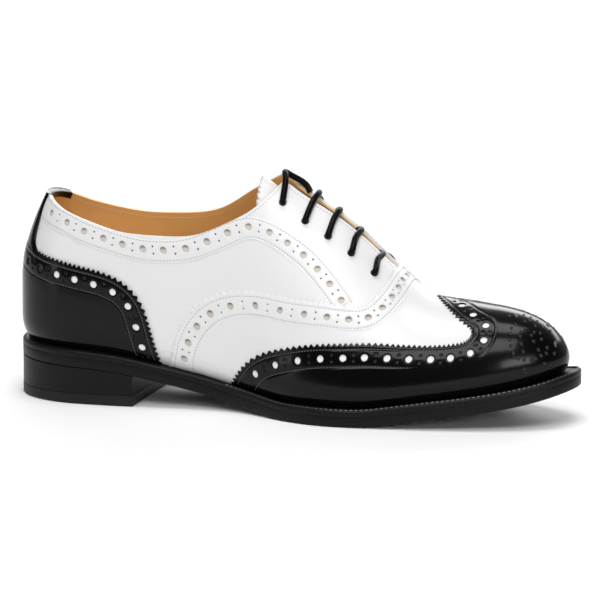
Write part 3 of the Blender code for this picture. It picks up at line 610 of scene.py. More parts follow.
class Trace:
    """A line over one side of the last, with a ruler along it and one across it.

    Args:
        line: control points as (share of the length, up).
        side: -1 inner, 1 outer.
        reach: how far across the ruler goes each way.
        before: how far the line runs straight on before its first point, and `after` past its last.
        under_collar: whether it stays below the collar.
    """

    PACE = 0.0005
    # How far past the ridge the line and its ruler may run, in t
    BEYOND = 0.4
    # How far past the back seam and the feather edge they may run, in p and in t
    OVER = 0.05
    # The last row, in p, just short of the toe's tip
    TIP = 1.995
    # The line of the last, in t, that stations are spaced along
    GIRTH_AT = 0.7
    SMOOTHED = 5

    def __init__(
        self,
        line: tuple,
        side: int,
        reach: tuple[float, float],
        before: float = 0,
        after: float = 0,
        under_collar: bool = False,
    ) -> None:
        self.side = side
        self.under_collar = under_collar
        knots = np.array(line, float)
        p = LAST.row(knots[:, 0])
        t = side * (1 - knots[:, 1])
        rows = np.linspace(-1.1, 1.999, 1500)
        girth = self._lengths(LAST.plain(rows, side * self.GIRTH_AT)[0])
        round_at = np.interp(p, rows, girth)
        chord = self._lengths(LAST.at(p, t, OVERLAY))
        fine = np.linspace(0, chord[-1], 1200)
        curve = np.stack([spline(chord, round_at, fine), spline(chord, t, fine)], -1)
        length = self._lengths(LAST.at(np.interp(curve[:, 0], girth, rows), curve[:, 1], OVERLAY))
        self.marks = np.interp(chord, fine, length)
        self.start, self.end = -before, self.marks[-1] + after
        self.s = np.arange(self.start, self.end + self.PACE, self.PACE)
        q = np.stack([np.interp(self.s, length, curve[:, k]) for k in (0, 1)], -1)
        for past, end, i in ((self.s < 0, 0, 6), (self.s > length[-1], -1, -7)):
            slope = (curve[i] - curve[end]) / (length[i] - length[end])
            q[past] += (self.s[past] - length[end])[:, None] * slope
        q[:, 0] = np.interp(q[:, 0], girth, rows)
        self.across = np.arange(reach[0], reach[1] + self.PACE, self.PACE)
        q[:, 0] = np.clip(q[:, 0], -1 - self.OVER, self.TIP)
        q[:, 1] = np.clip(q[:, 1] * side, -self.BEYOND, 1 + self.OVER) * side
        self.grid = self._march(q, reach)

    @staticmethod
    def _lengths(points: np.ndarray) -> np.ndarray:
        """Length along a line of points, from its start."""
        return np.append(0, np.cumsum(np.linalg.norm(np.diff(points, axis=0), axis=1)))

    def _kept(self, q: np.ndarray) -> np.ndarray:
        """Keeps (p, t) on this side of the last, and where it must, under the collar."""
        p = np.clip(q[..., 0], -1, self.TIP)
        least = 1 - LAST.top_edge(p, self.side) + 0.002 if self.under_collar else 0.0
        return np.stack([p, np.clip(q[..., 1] * self.side, least, 1) * self.side], -1)

    def _step(self, q: np.ndarray, tangent: np.ndarray, size: float) -> np.ndarray:
        """Moves every point of a line across, by a length over the surface."""
        t_in = np.where(q[:, 1] < 0, -1, 1) * np.clip(np.abs(q[:, 1]), 2 * STEP, 1 - 2 * STEP)
        p_in = np.clip(q[:, 0], -1 + 2 * STEP, 1.99)
        by_p = (LAST.plain(p_in + STEP, t_in)[0] - LAST.plain(p_in - STEP, t_in)[0]) / (2 * STEP)
        by_t = (LAST.plain(p_in, t_in + STEP)[0] - LAST.plain(p_in, t_in - STEP)[0]) / (2 * STEP)
        normal = np.cross(by_p, by_t)
        normal /= np.linalg.norm(normal, axis=1, keepdims=True)
        cross = np.cross(normal, tangent) * self.side
        cross /= np.maximum(np.linalg.norm(cross, axis=1, keepdims=True), 1e-12)
        gram = np.stack([(by_p * by_p).sum(1), (by_p * by_t).sum(1), (by_t * by_t).sum(1)], -1)
        right = np.stack([(by_p * cross).sum(1), (by_t * cross).sum(1)], -1)
        scale = gram[:, 0] * gram[:, 2] - gram[:, 1] ** 2
        move_p = (gram[:, 2] * right[:, 0] - gram[:, 1] * right[:, 1]) / scale
        move_t = (gram[:, 0] * right[:, 1] - gram[:, 1] * right[:, 0]) / scale
        return q + size * np.stack([move_p, move_t], -1)

    def _march(self, center: np.ndarray, reach: tuple[float, float]) -> np.ndarray:
        """(p, t) of every place on both rulers, worked out step by step from the line."""
        points = LAST.plain(center[:, 0], center[:, 1])[0]
        tangent = np.gradient(points, axis=0)
        kernel = np.ones(self.SMOOTHED) / self.SMOOTHED
        for axis in range(3):
            padded = np.pad(tangent[:, axis], self.SMOOTHED // 2, mode="edge")
            tangent[:, axis] = np.convolve(padded, kernel, mode="valid")
        rows = {0: self._kept(center)}
        for sign in (-1, 1):
            limit = reach[0] if sign < 0 else reach[1]
            free = center
            for step in range(1, int(round(abs(limit) / self.PACE)) + 2):
                free = self._step(free, tangent, sign * self.PACE)
                free = np.stack([np.clip(free[:, 0], -1 - self.OVER, self.TIP), free[:, 1]], -1)
                rows[sign * step] = self._kept(free)
                free[:, 1] = np.clip(free[:, 1] * self.side, -self.BEYOND, 1 + self.OVER) * self.side
        order = [int(round(w / self.PACE)) for w in self.across]
        return np.stack([rows[i] for i in order], 1)

    def place(self, s: np.ndarray, w: np.ndarray) -> tuple[np.ndarray, np.ndarray]:
        """(p, t) at s along and w across, w growing away from the gimped edge."""
        a = np.clip((s - self.s[0]) / self.PACE, 0, len(self.s) - 1.001)
        b = np.clip((w - self.across[0]) / self.PACE, 0, len(self.across) - 1.001)
        i, j = a.astype(int), b.astype(int)
        a, b = (a - i)[..., None], (b - j)[..., None]
        g = self.grid
        low = g[i, j] * (1 - a) + g[i + 1, j] * a
        q = low * (1 - b) + (g[i, j + 1] * (1 - a) + g[i + 1, j + 1] * a) * b
        return q[..., 0], q[..., 1]

    def at(self, s: np.ndarray, w: np.ndarray, lift: np.ndarray | float) -> np.ndarray:
        """Points over the last at s along and w across."""
        return LAST.at(*self.place(s, w), lift)


@dataclass
class BandStyle:
    """How a punched band is cut and sewn.

    Args:
        edge: where its outer edge is, across from the line of large holes.
        rows: where its rows of stitches are.
        border: where its inner border is.
        top: lift of its face, and `bottom` of its underside.
        small: radius of its small holes, and `large` of its large ones.
        tooth: half the depth of the teeth along its outer edge, 0 for a straight one.
        puff: how far its face swells between the rows.
    """

    edge: float
    rows: tuple[float, float]
    border: float
    top: float
    bottom: float
    small: float
    tooth: float
    puff: float
    large: float = 0.0016


class Band:
    """A strip of leather with large holes and pairs of small ones, edged in teeth.

    It is cut in cells: a large hole at each whole cell coordinate and a pair of small ones halfway.

    Args:
        trace: the line of its large holes.
        style: how it is cut.
        first: its first cell, and `last` its last one.
        plain: the cells without holes.
    """

    S_CUTS = 8
    W_CUTS = 6
    HALF = 0.0032
    # Width and depth of the groove that a row of stitches draws in
    GROOVE = (0.00045, 0.00018)
    # Width and depth of the rounding along its outer edge
    SOFT_EDGE = (0.0006, 0.00025)
    # Rings round a hole as (share of its radius, depth under the face)
    RINGS = ((1.16, 0.00004), (1.03, 0.00014), (1.0, 0.0003))
    TEETH_A_CELL = 4

    def __init__(self, trace: Trace, style: BandStyle, first: int, last: int, plain: set[int]) -> None:
        self.trace = trace
        self.style = style
        self.first, self.last = first, last
        self.plain = plain
        self.holes: list[tuple[float, float, float]] = []
        steps = int(round((last - first + 0.5) * 2 * self.S_CUTS))
        self.c = np.linspace(first - 0.25, last + 0.25, steps + 1)

    def ruler(self, c: np.ndarray) -> np.ndarray:
        """Length along the line at a cell coordinate, whole numbers being the large holes."""
        marks = self.trace.marks
        count = len(marks) - 1
        first, last = marks[1] - marks[0], marks[-1] - marks[-2]
        inside = np.interp(c, np.arange(count + 1), marks)
        return inside + np.minimum(c, 0) * first + np.maximum(c - count, 0) * last

    def lift(self, w: np.ndarray) -> np.ndarray:
        """The face's lift across the band: puffed between its rows, drawn in along them."""
        style = self.style
        low, high = style.rows
        middle = np.clip((w - low) / (high - low), 0, 1)
        value = style.top + style.puff * np.sin(math.pi * middle) - style.puff * 0.5
        for row in style.rows:
            value = value - self.GROOVE[1] * np.exp(-(((w - row) / self.GROOVE[0]) ** 2))
        rim = np.clip((w - style.edge) / self.SOFT_EDGE[0], 0, 1)
        return value - self.SOFT_EDGE[1] * (1 - rim) ** 2

    def _put(
        self,
        surface: Surface,
        c: np.ndarray,
        ds: np.ndarray,
        w: np.ndarray,
        lift: np.ndarray,
        quads: np.ndarray,
    ) -> None:
        """Adds faces, but for those that lie wholly beyond the ridge, the feather edge or the back seam."""
        p, t = self.trace.place(self.ruler(c) + ds, w)
        off = (np.abs(t) < 1e-6) | (np.abs(t) > 1 - 1e-6) | (p < -1 + 1e-6)
        quads = quads[~off[quads].all(axis=1)]
        surface.add(LAST.at(p, t, lift), quads[:, ::-1] if self.trace.side < 0 else quads)

    def _hole(self, surface: Surface, center: float, w0: float, w1: float, cuts: int, radius: float) -> None:
        """One cell with a round hole, from its border in to the rim and down the hole's wall."""
        s_side = np.linspace(-1, 1, self.S_CUTS + 1)
        w_side = np.linspace(-1, 1, cuts + 1)
        u = np.concatenate([s_side, np.ones(cuts), s_side[-2::-1], -np.ones(cuts - 1)])
        v = np.concatenate([-np.ones(self.S_CUTS + 1), w_side[1:], np.ones(self.S_CUTS), w_side[-2:0:-1]])
        middle, half_w = (w0 + w1) / 2, (w1 - w0) / 2
        half_s = float(self.ruler(np.array(center + 0.25)) - self.ruler(np.array(center - 0.25))) / 2
        turn = np.arctan2(v * half_w, u * half_s)
        sides = len(u)
        far = min(radius * 1.55, half_w * 0.93)
        sizes = [far] + [radius * share for share, _ in self.RINGS] + [radius]
        c = np.concatenate([center + u * 0.25, np.full(sides * len(sizes), center)])
        ds = np.concatenate([np.zeros(sides)] + [size * np.cos(turn) for size in sizes])
        w = np.concatenate([middle + v * half_w] + [middle + size * np.sin(turn) for size in sizes])
        drops = np.repeat([0.0, 0.0] + [depth for _, depth in self.RINGS] + [0.0], sides)
        lift = self.lift(w) - drops
        lift[-sides:] = self.style.bottom
        self._put(surface, c, ds, w, lift, hoops(len(sizes) + 1, sides)[:, ::-1])
        self.holes.append((float(self.ruler(np.array(center))), middle, radius))

    def _plain(self, surface: Surface, c: np.ndarray, w: np.ndarray, lift: np.ndarray | None = None) -> None:
        """A plain grid over cell coordinates c and across w, both one- or two-dimensional."""
        c2, w2 = np.broadcast_arrays(c, w)
        face = self.lift(w2) if lift is None else lift
        self._put(surface, c2.ravel(), np.zeros(c2.size), w2.ravel(), face.ravel(), lattice(*c2.shape))

    def build(self, surface: Surface) -> None:
        """Adds the whole band to the surface."""
        style, half = self.style, self.HALF
        for cell in range(self.first, self.last + 1):
            for center, large in ((float(cell), True), (cell + 0.5, False)):
                if center > self.last:
                    continue
                if cell in self.plain:
                    c = center + np.linspace(-0.25, 0.25, self.S_CUTS + 1)[:, None]
                    self._plain(surface, c, np.linspace(-half, half, self.W_CUTS + 1)[None])
                elif large:
                    self._hole(surface, center, -half, half, self.W_CUTS, style.large)
                else:
                    for low, high in ((-half, 0.0), (0.0, half)):
                        self._hole(surface, center, low, high, self.W_CUTS // 2, style.small)
        c = self.c
        outer = self._across(style.edge, -half, style.rows[0])
        w = np.broadcast_to(outer, (len(c), len(outer))).copy()
        if style.tooth:
            tooth = np.abs(((c * self.TEETH_A_CELL) % 1) - 0.5) * 4 - 1
            fade = np.clip(1 - (w - style.edge) / 0.0014, 0, 1)
            w = w + style.tooth * tooth[:, None] * fade
        self._plain(surface, c[:, None], w, self.lift(np.broadcast_to(outer, w.shape)))
        rim = np.stack([w[:, 0], w[:, 0]], 1)
        lifts = np.stack([np.full(len(c), style.bottom), self.lift(np.full(len(c), style.edge))], 1)
        self._plain(surface, c[:, None] * np.ones((1, 2)), rim, lifts)
        inner = self._across(half, style.border, style.rows[1])
        self._plain(surface, c[:, None], inner[None])

    @staticmethod
    def _across(low: float, high: float, row: float) -> np.ndarray:
        """Places across, closer together at a row of stitches."""
        near = row + np.array([-0.0008, -0.0004, 0.0, 0.0004, 0.0008])
        near = near[(near > low + 1e-4) & (near < high - 1e-4)]
        return np.unique(np.concatenate([[low, high], np.linspace(low, high, 5), near]).round(7))

    def inner_border(self) -> tuple[np.ndarray, np.ndarray]:
        """(p, t) along the inner border, at the same places as the band's own points."""
        return self.trace.place(self.ruler(self.c), np.full(len(self.c), self.style.border))


class Stitches:
    """Small stitches, one capsule each, along lines of points with their normals.

    Args:
        pitch: from one stitch to the next.
        length: of a stitch, and `radius` of its thread.
    """

    # Rings of a stitch as (share of its length, share of its radius)
    RINGS = ((-0.5, 0.25), (-0.38, 0.85), (0.0, 1.0), (0.38, 0.85), (0.5, 0.25))
    SIDES = 6
    # Height of a stitch as a share of its width
    FLAT = 0.8
    # How far either way a stitch's direction is taken over
    NEAR = 2e-4

    def __init__(self, pitch: float, length: float, radius: float) -> None:
        self.pitch, self.length, self.radius = pitch, length, radius
        self.surface = Surface()

    def sew(self, points: np.ndarray, normals: np.ndarray, sink: float = 0.35) -> None:
        """Places stitches along a dense line, sunk by a share of their thickness."""
        gaps = np.linalg.norm(np.diff(points, axis=0), axis=1)
        place = np.append(0, np.cumsum(gaps))
        count = int(place[-1] / self.pitch)
        if count < 1:
            return
        at = (np.arange(count) + 0.5) * place[-1] / count

        def read(values: np.ndarray, where: np.ndarray) -> np.ndarray:
            """Values at lengths along the line."""
            return np.stack([np.interp(where, place, values[:, k]) for k in range(3)], -1)

        along = read(points, at + self.NEAR) - read(points, at - self.NEAR)
        along /= np.maximum(np.linalg.norm(along, axis=1, keepdims=True), 1e-12)
        out = read(normals, at)
        out -= (out * along).sum(1, keepdims=True) * along
        out /= np.maximum(np.linalg.norm(out, axis=1, keepdims=True), 1e-12)
        cross = np.cross(along, out)
        turn = np.arange(self.SIDES) * 2 * math.pi / self.SIDES
        body = np.array([
            (x * self.length, r * self.radius * math.cos(a), r * self.radius * self.FLAT * math.sin(a))
            for x, r in self.RINGS
            for a in turn
        ])
        bodies = (read(points, at) + out * self.radius * (self.FLAT - 2 * sink))[:, None]
        for k, axis in enumerate((along, cross, out)):
            bodies = bodies + body[None, :, k, None] * axis[:, None]
        rings, sides = len(self.RINGS), self.SIDES
        lid = np.array([[0, 1, 2, 3], [0, 3, 4, 5]])
        quads = np.concatenate([hoops(rings, sides), lid[:, ::-1], lid + (rings - 1) * sides])
        size = rings * sides
        every = (quads[None] + (np.arange(count) * size)[:, None, None]).reshape(-1, 4)
        self.surface.add(bodies, every)

    def along(self, trace: Trace, s: np.ndarray, w: float, lift: float) -> None:
        """Sews a row parallel to a trace."""
        p, t = trace.place(s, np.full(len(s), w))
        free = (np.abs(t) > 2e-3) & (np.abs(t) < 0.995) & (p > -0.995)
        self.on_last(p[free], t[free], lift)

    def on_last(self, p: np.ndarray, t: np.ndarray, lift: float) -> None:
        """Sews a row through (p, t) over the last."""
        if len(p) > 2:
            self.sew(LAST.at(p, t, lift), LAST.normal(p, t))

    def piece(self, name: str, material: bpy.types.Material, slot: Slot) -> bpy.types.Object:
        """Makes one object of all the stitches."""
        return fit(self.surface.piece(name, [material], weld=0), slot)


BLACK_BAND = BandStyle(
    edge=-0.0063, rows=(-0.0040, 0.0042), border=0.0050, top=BLACK_LIFT, bottom=GAP,
    small=0.00072, tooth=0.0008, puff=0.00022, large=0.00165,
)
VAMP_BAND = BandStyle(
    edge=-0.0062, rows=(-0.0040, 0.0043), border=0.0050, top=0.0009, bottom=0.0,
    small=0.00042, tooth=0.0007, puff=0.00018,
)
TOPLINE_BAND = BandStyle(
    edge=-0.0046, rows=(-0.0037, 0.0047), border=0.0056, top=0.0003, bottom=0.0,
    small=0.00042, tooth=0.0, puff=0.00012,
)


@dataclass
class Course:
    """Where a band runs.

    Args:
        holes: its line of large holes.
        style: how it is cut.
        cells: its first and its last cell.
        plain: its cells without holes.
        beyond: how far it runs on before its first hole and past its last.
    """

    holes: tuple
    style: BandStyle
    cells: tuple[int, int]
    plain: set[int]
    beyond: tuple[float, float]


WING = Course(WING_HOLES, BLACK_BAND, (-1, 17), {-1, 0, 16, 17}, (0.016, 0.022))
COUNTER = Course(COUNTER_HOLES, BLACK_BAND, (-1, 11), {-1, 0, 10, 11}, (0.006, 0.026))
VAMP = Course(VAMP_HOLES, VAMP_BAND, (-2, 17), {-2, -1, 16, 17}, (0.018, 0.012))
COLLAR = Course(TOPLINE_HOLES, TOPLINE_BAND, (-1, 16), {-1}, (0.012, 0.004))


@dataclass
class Backing:
    """What shows through a band's holes, with painted shade.

    Args:
        lift: off the last.
        large: tone behind its large holes, and `small` behind its small ones, near black there as painted
            shade.
        shadow: how much painted shade darkens it towards a hole's upper rim and round its outer ring.
    """

    lift: float
    large: tuple[float, float, float]
    small: tuple[float, float, float]
    shadow: float


# Behind large holes in white leather a beige, partly the backing's own tone and partly painted shade; behind
# those in black leather the white beneath. The near-black tones behind small holes are painted shade.
UNDER_WHITE = Backing(0.00006, (0.56, 0.50, 0.44), (0.05, 0.045, 0.04), 1.5)
UNDER_BLACK = Backing(0.0010, (0.85, 0.84, 0.83), (0.012, 0.012, 0.012), 0.3)


def over_sole(x: np.ndarray, level: float) -> np.ndarray:
    """Height of a level over the sole's underside."""
    return LAST.sole(x) + level


def over_floor(x: np.ndarray, level: float) -> np.ndarray:
    """Height of a level over the floor."""
    return np.full(len(x), level)


def in_stack(x: np.ndarray, level: float) -> np.ndarray:
    """Height in the heel stack, from the sole down if the level is negative, else from the floor up."""
    sole = LAST.sole(x)
    return sole + level if level < 0 else np.minimum(level, sole - 0.0004)


class Shoe:
    """Builds every piece of the shoe."""

    EYELET_SIDES = 20
    # Rings of the discs behind the holes, as shares of the hole's radius
    DISC_RINGS = (0.45, 0.8, 1.15)
    DISC_SIDES = 20
    # How far up the back strip starts, under the counter
    STRIP_FOOT = 0.20
    # Rows of stitches below the collar's edge: how far down on the outside and on the lining
    EDGE_ROW = 0.0019
    LINING_ROW = 0.0026
    # Shares of the length: where the outer row starts, where the lining's row stops, where the facing ends
    ROW_START = 0.40
    LINING_STOP = 0.47
    FACING_END = 0.685
    # Points round the lace, the last one on the first
    LACE_POINTS = 25
    # The lace's braid: share of its radius, strands round it and radians along each metre
    WEAVE_DEPTH = 0.022
    WEAVE_STRANDS = 8
    WEAVE_PITCH = 5200
    # Radius of the medallion's small and large holes, and the dark tones of the discs in them, painted shade
    MEDALLION_RADIUS = (0.00072, 0.00125)
    MEDALLION_TONE = (0.010, 0.09)
    MEDALLION_SIDES = 18
    # Rings of a medallion hole's rim as (share of its radius, height over the leather)
    MEDALLION_RIM = ((1.4, -0.00002), (1.15, 0.00010), (1.0, 0.00004), (0.94, -0.0001))

    def __init__(self, finishes: Finishes) -> None:
        self.looks = finishes
        self.white = Stitches(pitch=0.00160, length=0.00090, radius=0.00016)
        self.black = Stitches(pitch=0.00150, length=0.00115, radius=0.00024)
        self.tan = Stitches(pitch=0.00210, length=0.00150, radius=0.00020)
        # Discs under the band holes: backing tones with painted shade.
        self.backing = Surface()

    def build(self) -> None:
        """Builds all pieces, the leather first and the threads last."""
        self.upper()
        self.wing_cap()
        self.heel_counter()
        self.vamp()
        self.topline()
        self.back_strip()
        self.tongue()
        self.soles()
        self.lace()
        self.edge_rows()
        self.medallion()
        self.white.piece("white_stitches", self.looks["white_thread"], Slot.WHITE)
        self.black.piece("black_stitches", self.looks["black_thread"], Slot.BLACK)
        self.tan.piece("lining_stitches", self.looks["tan_thread"], Slot.TAN)
        # The discs under the band holes, backing tones with painted shade.
        fit(self.backing.piece("hole_backing_and_shade", [self.looks["backing_and_painted_shade"]]), Slot.WHITE)

    def upper(self) -> None:
        """The white hollow upper with its tan lining, and the ten lace holes cut through it."""
        heel = np.linspace(-1, 0, 50)[:-1]
        foot = np.linspace(0, 1, 130)[:-1]
        toe = np.linspace(1, 2, 50)
        end = float(LAST.row(np.array(THROAT_END)))
        p = np.concatenate([heel, foot, toe])
        p = np.sort(np.append(p[np.abs(p - end) > 0.006], end))
        rise = np.linspace(0, 1, 49)
        surface = Surface()
        for side in (-1, 1):
            edge = LAST.top_edge(p, side)
            opening = int(np.count_nonzero(edge < 1)) + 1
            t = side * (1 - edge[:, None] * rise)
            skin = LAST.at(p[:, None], t, 0.0)
            lining = LAST.at(p[:, None], t, -WALL)
            depth = np.where(LAST.station(p[:opening])[0] > 0.40 * LAST_LENGTH, 0.6, 0.5)
            middle = LAST.at(p[:opening], t[:opening, -1], -WALL * depth)
            middle = middle + (skin[:opening, -1] - skin[:opening, -2]) * 0.12
            surface.grid(skin, 0, turned=side < 0)
            surface.grid(lining, 1, turned=side > 0)
            for line, slot in (((skin[:opening, -1], middle), 0), ((middle, lining[:opening, -1]), 1)):
                surface.grid(np.stack(line, 1), slot, turned=side < 0)
            surface.grid(np.stack([lining[:, 0], skin[:, 0]], 1), 0, turned=side < 0)
        piece = surface.piece("leather_upper", [self.looks["white_smooth"], self.looks["tan_lining"]])
        self._punch_eyelets(piece)
        fit(piece, Slot.WHITE, "upper")

    def _punch_eyelets(self, piece: bpy.types.Object) -> None:
        """Cuts the round lace holes, and applies the cut."""
        sides = self.EYELET_SIDES
        pairs = 2 * np.arange(1, sides // 2)
        lid = np.stack([np.zeros_like(pairs), pairs - 1, pairs, pairs + 1], -1)
        quads = np.concatenate([hoops(2, sides), lid[:, ::-1], lid + sides])
        cutters = Surface()
        for side in (-1, 1):
            for number in range(EYELETS_A_SIDE):
                p, t = self.eyelet(number, side)
                ring = circle(LAST.normal(p, t), sides) * EYELET_RADIUS
                cutters.add(np.concatenate([LAST.at(p, t, lift) + ring for lift in (-2 * WALL, WALL)]), quads)
        cutter = cutters.piece("eyelet_cutter", [self.looks["white_smooth"]])
        shape = bmesh.new()
        shape.from_mesh(cutter.data)
        bmesh.ops.recalc_face_normals(shape, faces=shape.faces)
        shape.to_mesh(cutter.data)
        shape.free()
        change = piece.modifiers.new("eyelets", "BOOLEAN")
        change.operation = "DIFFERENCE"
        change.object = cutter
        graph = bpy.context.evaluated_depsgraph_get()
        cut = bpy.data.meshes.new_from_object(piece.evaluated_get(graph))
        piece.modifiers.clear()
        piece.data = cut
        bpy.data.objects.remove(cutter)

    @staticmethod
    def eyelet(number: float, side: int) -> tuple[np.ndarray, np.ndarray]:
        """The parameters of an eyelet, counted from the top of the throat."""
        share = FIRST_EYELET + number * EYELET_PITCH / LAST_LENGTH
        return LAST.row(np.array(share)), np.array(side * (1 - EYELET_LINE))

    def _band(self, surface: Surface, course: Course, side: int, stitches: Stitches) -> Band:
        """One side's band with its two rows of stitches."""
        style, collar = course.style, course is COLLAR
        line = self._raised(course.holes, side) if collar else course.holes
        reach = (style.edge - 0.001, style.border + 0.0005)
        trace = Trace(line, side, reach, *course.beyond, collar)
        band = Band(trace, style, *course.cells, course.plain)
        band.build(surface)
        s = np.linspace(trace.start, trace.end, 500)
        for row in style.rows:
            stitches.along(trace, s, row, float(band.lift(np.array(row))) + 0.00005)
        return band

    @staticmethod
    def _raised(holes: tuple, side: int) -> tuple:
        """The collar's line of holes, as far below this side's collar as it is below the inner one."""
        line = np.array(holes)
        p = LAST.row(line[:, 0])
        fade = np.clip((0.52 - line[:, 0]) / 0.10, 0, 1)
        line[:, 1] += fade * (LAST.top_edge(p, side) - LAST.top_edge(p, -1))
        return tuple(map(tuple, line))

    def _back(self, band: Band, backing: Backing, white_from: float = 0.0) -> None:
        """Discs under a band's holes, with painted shade towards the upper rim and round the outer ring, all
        toned as small up to `white_from`.
        """
        sides = self.DISC_SIDES
        turn = np.arange(sides) * 2 * math.pi / sides
        for s, w, radius in band.holes:
            rings = [np.array([[s, w]])]
            for share in self.DISC_RINGS:
                ring = np.stack([s + radius * share * np.cos(turn), w + radius * share * np.sin(turn)], -1)
                rings.append(ring)
            places = np.concatenate(rings)
            points = band.trace.at(places[:, 0], places[:, 1], backing.lift)
            # The near-black small tone is painted shade in the small holes; holes before `white_from` take it
            # too.
            tone = np.array(backing.small if radius < 0.001 or s < white_from else backing.large)
            # Painted shade: darker towards the upper rim and round the outer ring.
            high = (points[:, 2] - points[0, 2]) / radius
            rim = np.arange(len(points)) > 2 * sides
            dark = np.clip(1 - backing.shadow * (0.6 * np.maximum(high, -0.2) + 0.35 * rim), 0.2, 1)
            quads = np.concatenate([hoops(len(self.DISC_RINGS), sides) + 1, fan(sides)])
            self.backing.add(points, quads, 0, tone * dark[:, None])

    def _gather(self, surface: Surface, band: Band, lift: float, rows: int, toe: bool) -> None:
        """The leather beyond a band's inner border, to the toe's tip or down to the feather edge."""
        p, t = band.inner_border()
        side = band.trace.side
        share = np.linspace(0, 1, len(p))
        lead = np.linspace(0, 1, rows)[:, None]
        edge_lift = float(band.lift(np.array(band.style.border)))
        if toe:
            ahead = (1 - np.cos(lead * math.pi / 2)) ** 0.85
            target_p, target_t = np.full(len(p), 2.0), side * (1 - share)
        else:
            ahead = lead
            target_p, target_t = -1 + share * (p.max() + 1), np.full(len(p), float(side))
        grid_p = (1 - ahead) * p + ahead * target_p
        grid_t = (1 - ahead) * t + ahead * target_t
        lifts = edge_lift + (lift - edge_lift) * np.clip(lead * rows / 4, 0, 1)
        points = LAST.at(grid_p, grid_t, lifts * np.ones_like(grid_p))
        surface.grid(points.transpose(1, 0, 2), 0, turned=side > 0)

    def wing_cap(self) -> None:
        """The black toe cap with its wings, punched, gimped and laid over the vamp."""
        surface = Surface()
        for side in (-1, 1):
            band = self._band(surface, WING, side, self.black)
            self._gather(surface, band, BLACK_LIFT, 90, True)
            self._back(band, UNDER_BLACK)
        fit(surface.piece("leather_wing_cap", [self.looks["black_polished"]]), Slot.BLACK, "wing_cap")

    def heel_counter(self) -> None:
        """The black counter round the heel."""
        surface = Surface()
        for side in (-1, 1):
            band = self._band(surface, COUNTER, side, self.black)
            self._gather(surface, band, BLACK_LIFT, 40, False)
            over_strip = band.trace.marks[2] + 0.001
            self._back(band, UNDER_BLACK, over_strip)
        fit(surface.piece("leather_counter", [self.looks["black_polished"]]), Slot.BLACK, "heel_counter")

    def vamp(self) -> None:
        """The white vamp over the quarters, its gimped edge from the waist to the throat."""
        surface = Surface()
        for side in (-1, 1):
            band = self._band(surface, VAMP, side, self.white)
            self._gather(surface, band, VAMP_LIFT, 60, True)
            self._back(band, UNDER_WHITE)
        fit(surface.piece("leather_vamp", [self.looks["white_smooth"]]), Slot.WHITE)

    def topline(self) -> None:
        """The band of holes along the collar and down the facing."""
        surface = Surface()
        for side in (-1, 1):
            self._back(self._band(surface, COLLAR, side, self.white), UNDER_WHITE)
        fit(surface.piece("leather_topline", [self.looks["white_smooth"]]), Slot.WHITE)

    def back_strip(self) -> None:
        """The black strip over the back seam, folded over the collar into the shoe."""
        across = np.linspace(-1, 1, 41)
        rise = np.linspace(0, 1, 60)[:, None]
        side_share = spline(STRIP_SIDE[:, 0], STRIP_SIDE[:, 1], rise)
        head_wide = 0.015 * np.clip((rise - 0.93) / 0.05, 0, 1) * (across > 0)
        p = -1 + np.abs(across) * (LAST.row(side_share + head_wide) + 1)
        side = np.where(across < 0, -1.0, 1.0) * np.ones_like(rise)
        head = np.where(side < 0, LAST.top_edge(p, -1), LAST.top_edge(p, 1))
        up = self.STRIP_FOOT * (1 - rise) + head * rise
        t = side * (1 - up)
        rim = np.clip((1 - np.abs(across)) / 0.12, 0, 1)
        lift = (0.0003 + 0.0010 * (1 - (1 - rim) ** 2)) * np.ones_like(p)
        face = LAST.at(p, t, lift)
        fold = [face]
        for depth, over in ((0.0004, 0.0003), (-WALL * 0.5, 0.0004), (-WALL - 0.0002, 0.0002)):
            fold.append(LAST.at(p[-1:], t[-1:], depth) + (0, 0, over))
        for down in (0.0, 0.010, 0.018):
            fold.append(LAST.at(p[-1:], side[-1:] * (1 - head[-1:] + down), -WALL - 0.0003))
        surface = Surface()
        surface.grid(np.concatenate(fold), 0, turned=True)
        fit(surface.piece("leather_back_strip", [self.looks["black_polished"]]), Slot.BLACK, "back_strip")
        for column in (4, -5):
            self.black.sew(face[:, column], LAST.normal(p[:, column], t[:, column]))

    def tongue(self) -> None:
        """The white tongue with a pinked edge and a tan underside."""
        rows = np.linspace(0, 1, 90)[:, None]
        half = (1 - TONGUE_SIDE) * (1 - TONGUE_TAPER * rows**2)
        across = np.linspace(-1, 1, 81)
        teeth = np.abs(((np.arange(len(rows)) * 0.4) % 1) - 0.5)[:, None] * 0.03
        t = (half - teeth * half) * across
        tip = np.abs(((np.arange(len(across)) * 0.25) % 1) - 0.5) * 0.010
        share = TONGUE_TOP + rows * (TONGUE_END - TONGUE_TOP) + tip * (1 - rows) ** 6
        p = LAST.row(share)
        over = LAST.tongue(p, t) - (0, 0, 0.0020) * (1 - rows[..., None]) ** 4
        under = over - (0, 0, TONGUE_THICKNESS)
        surface = Surface()
        surface.grid(over, 0)
        surface.grid(under, 1, turned=True)
        edges = ((np.s_[0], True), (np.s_[-1], False), (np.s_[:, 0], False), (np.s_[:, -1], True))
        for edge, turned in edges:
            surface.grid(np.stack([over[edge], under[edge]], 1), 0, turned=turned)
        piece = surface.piece("leather_tongue", [self.looks["white_smooth"], self.looks["tan_lining"]])
        fit(piece, Slot.WHITE, "tongue")

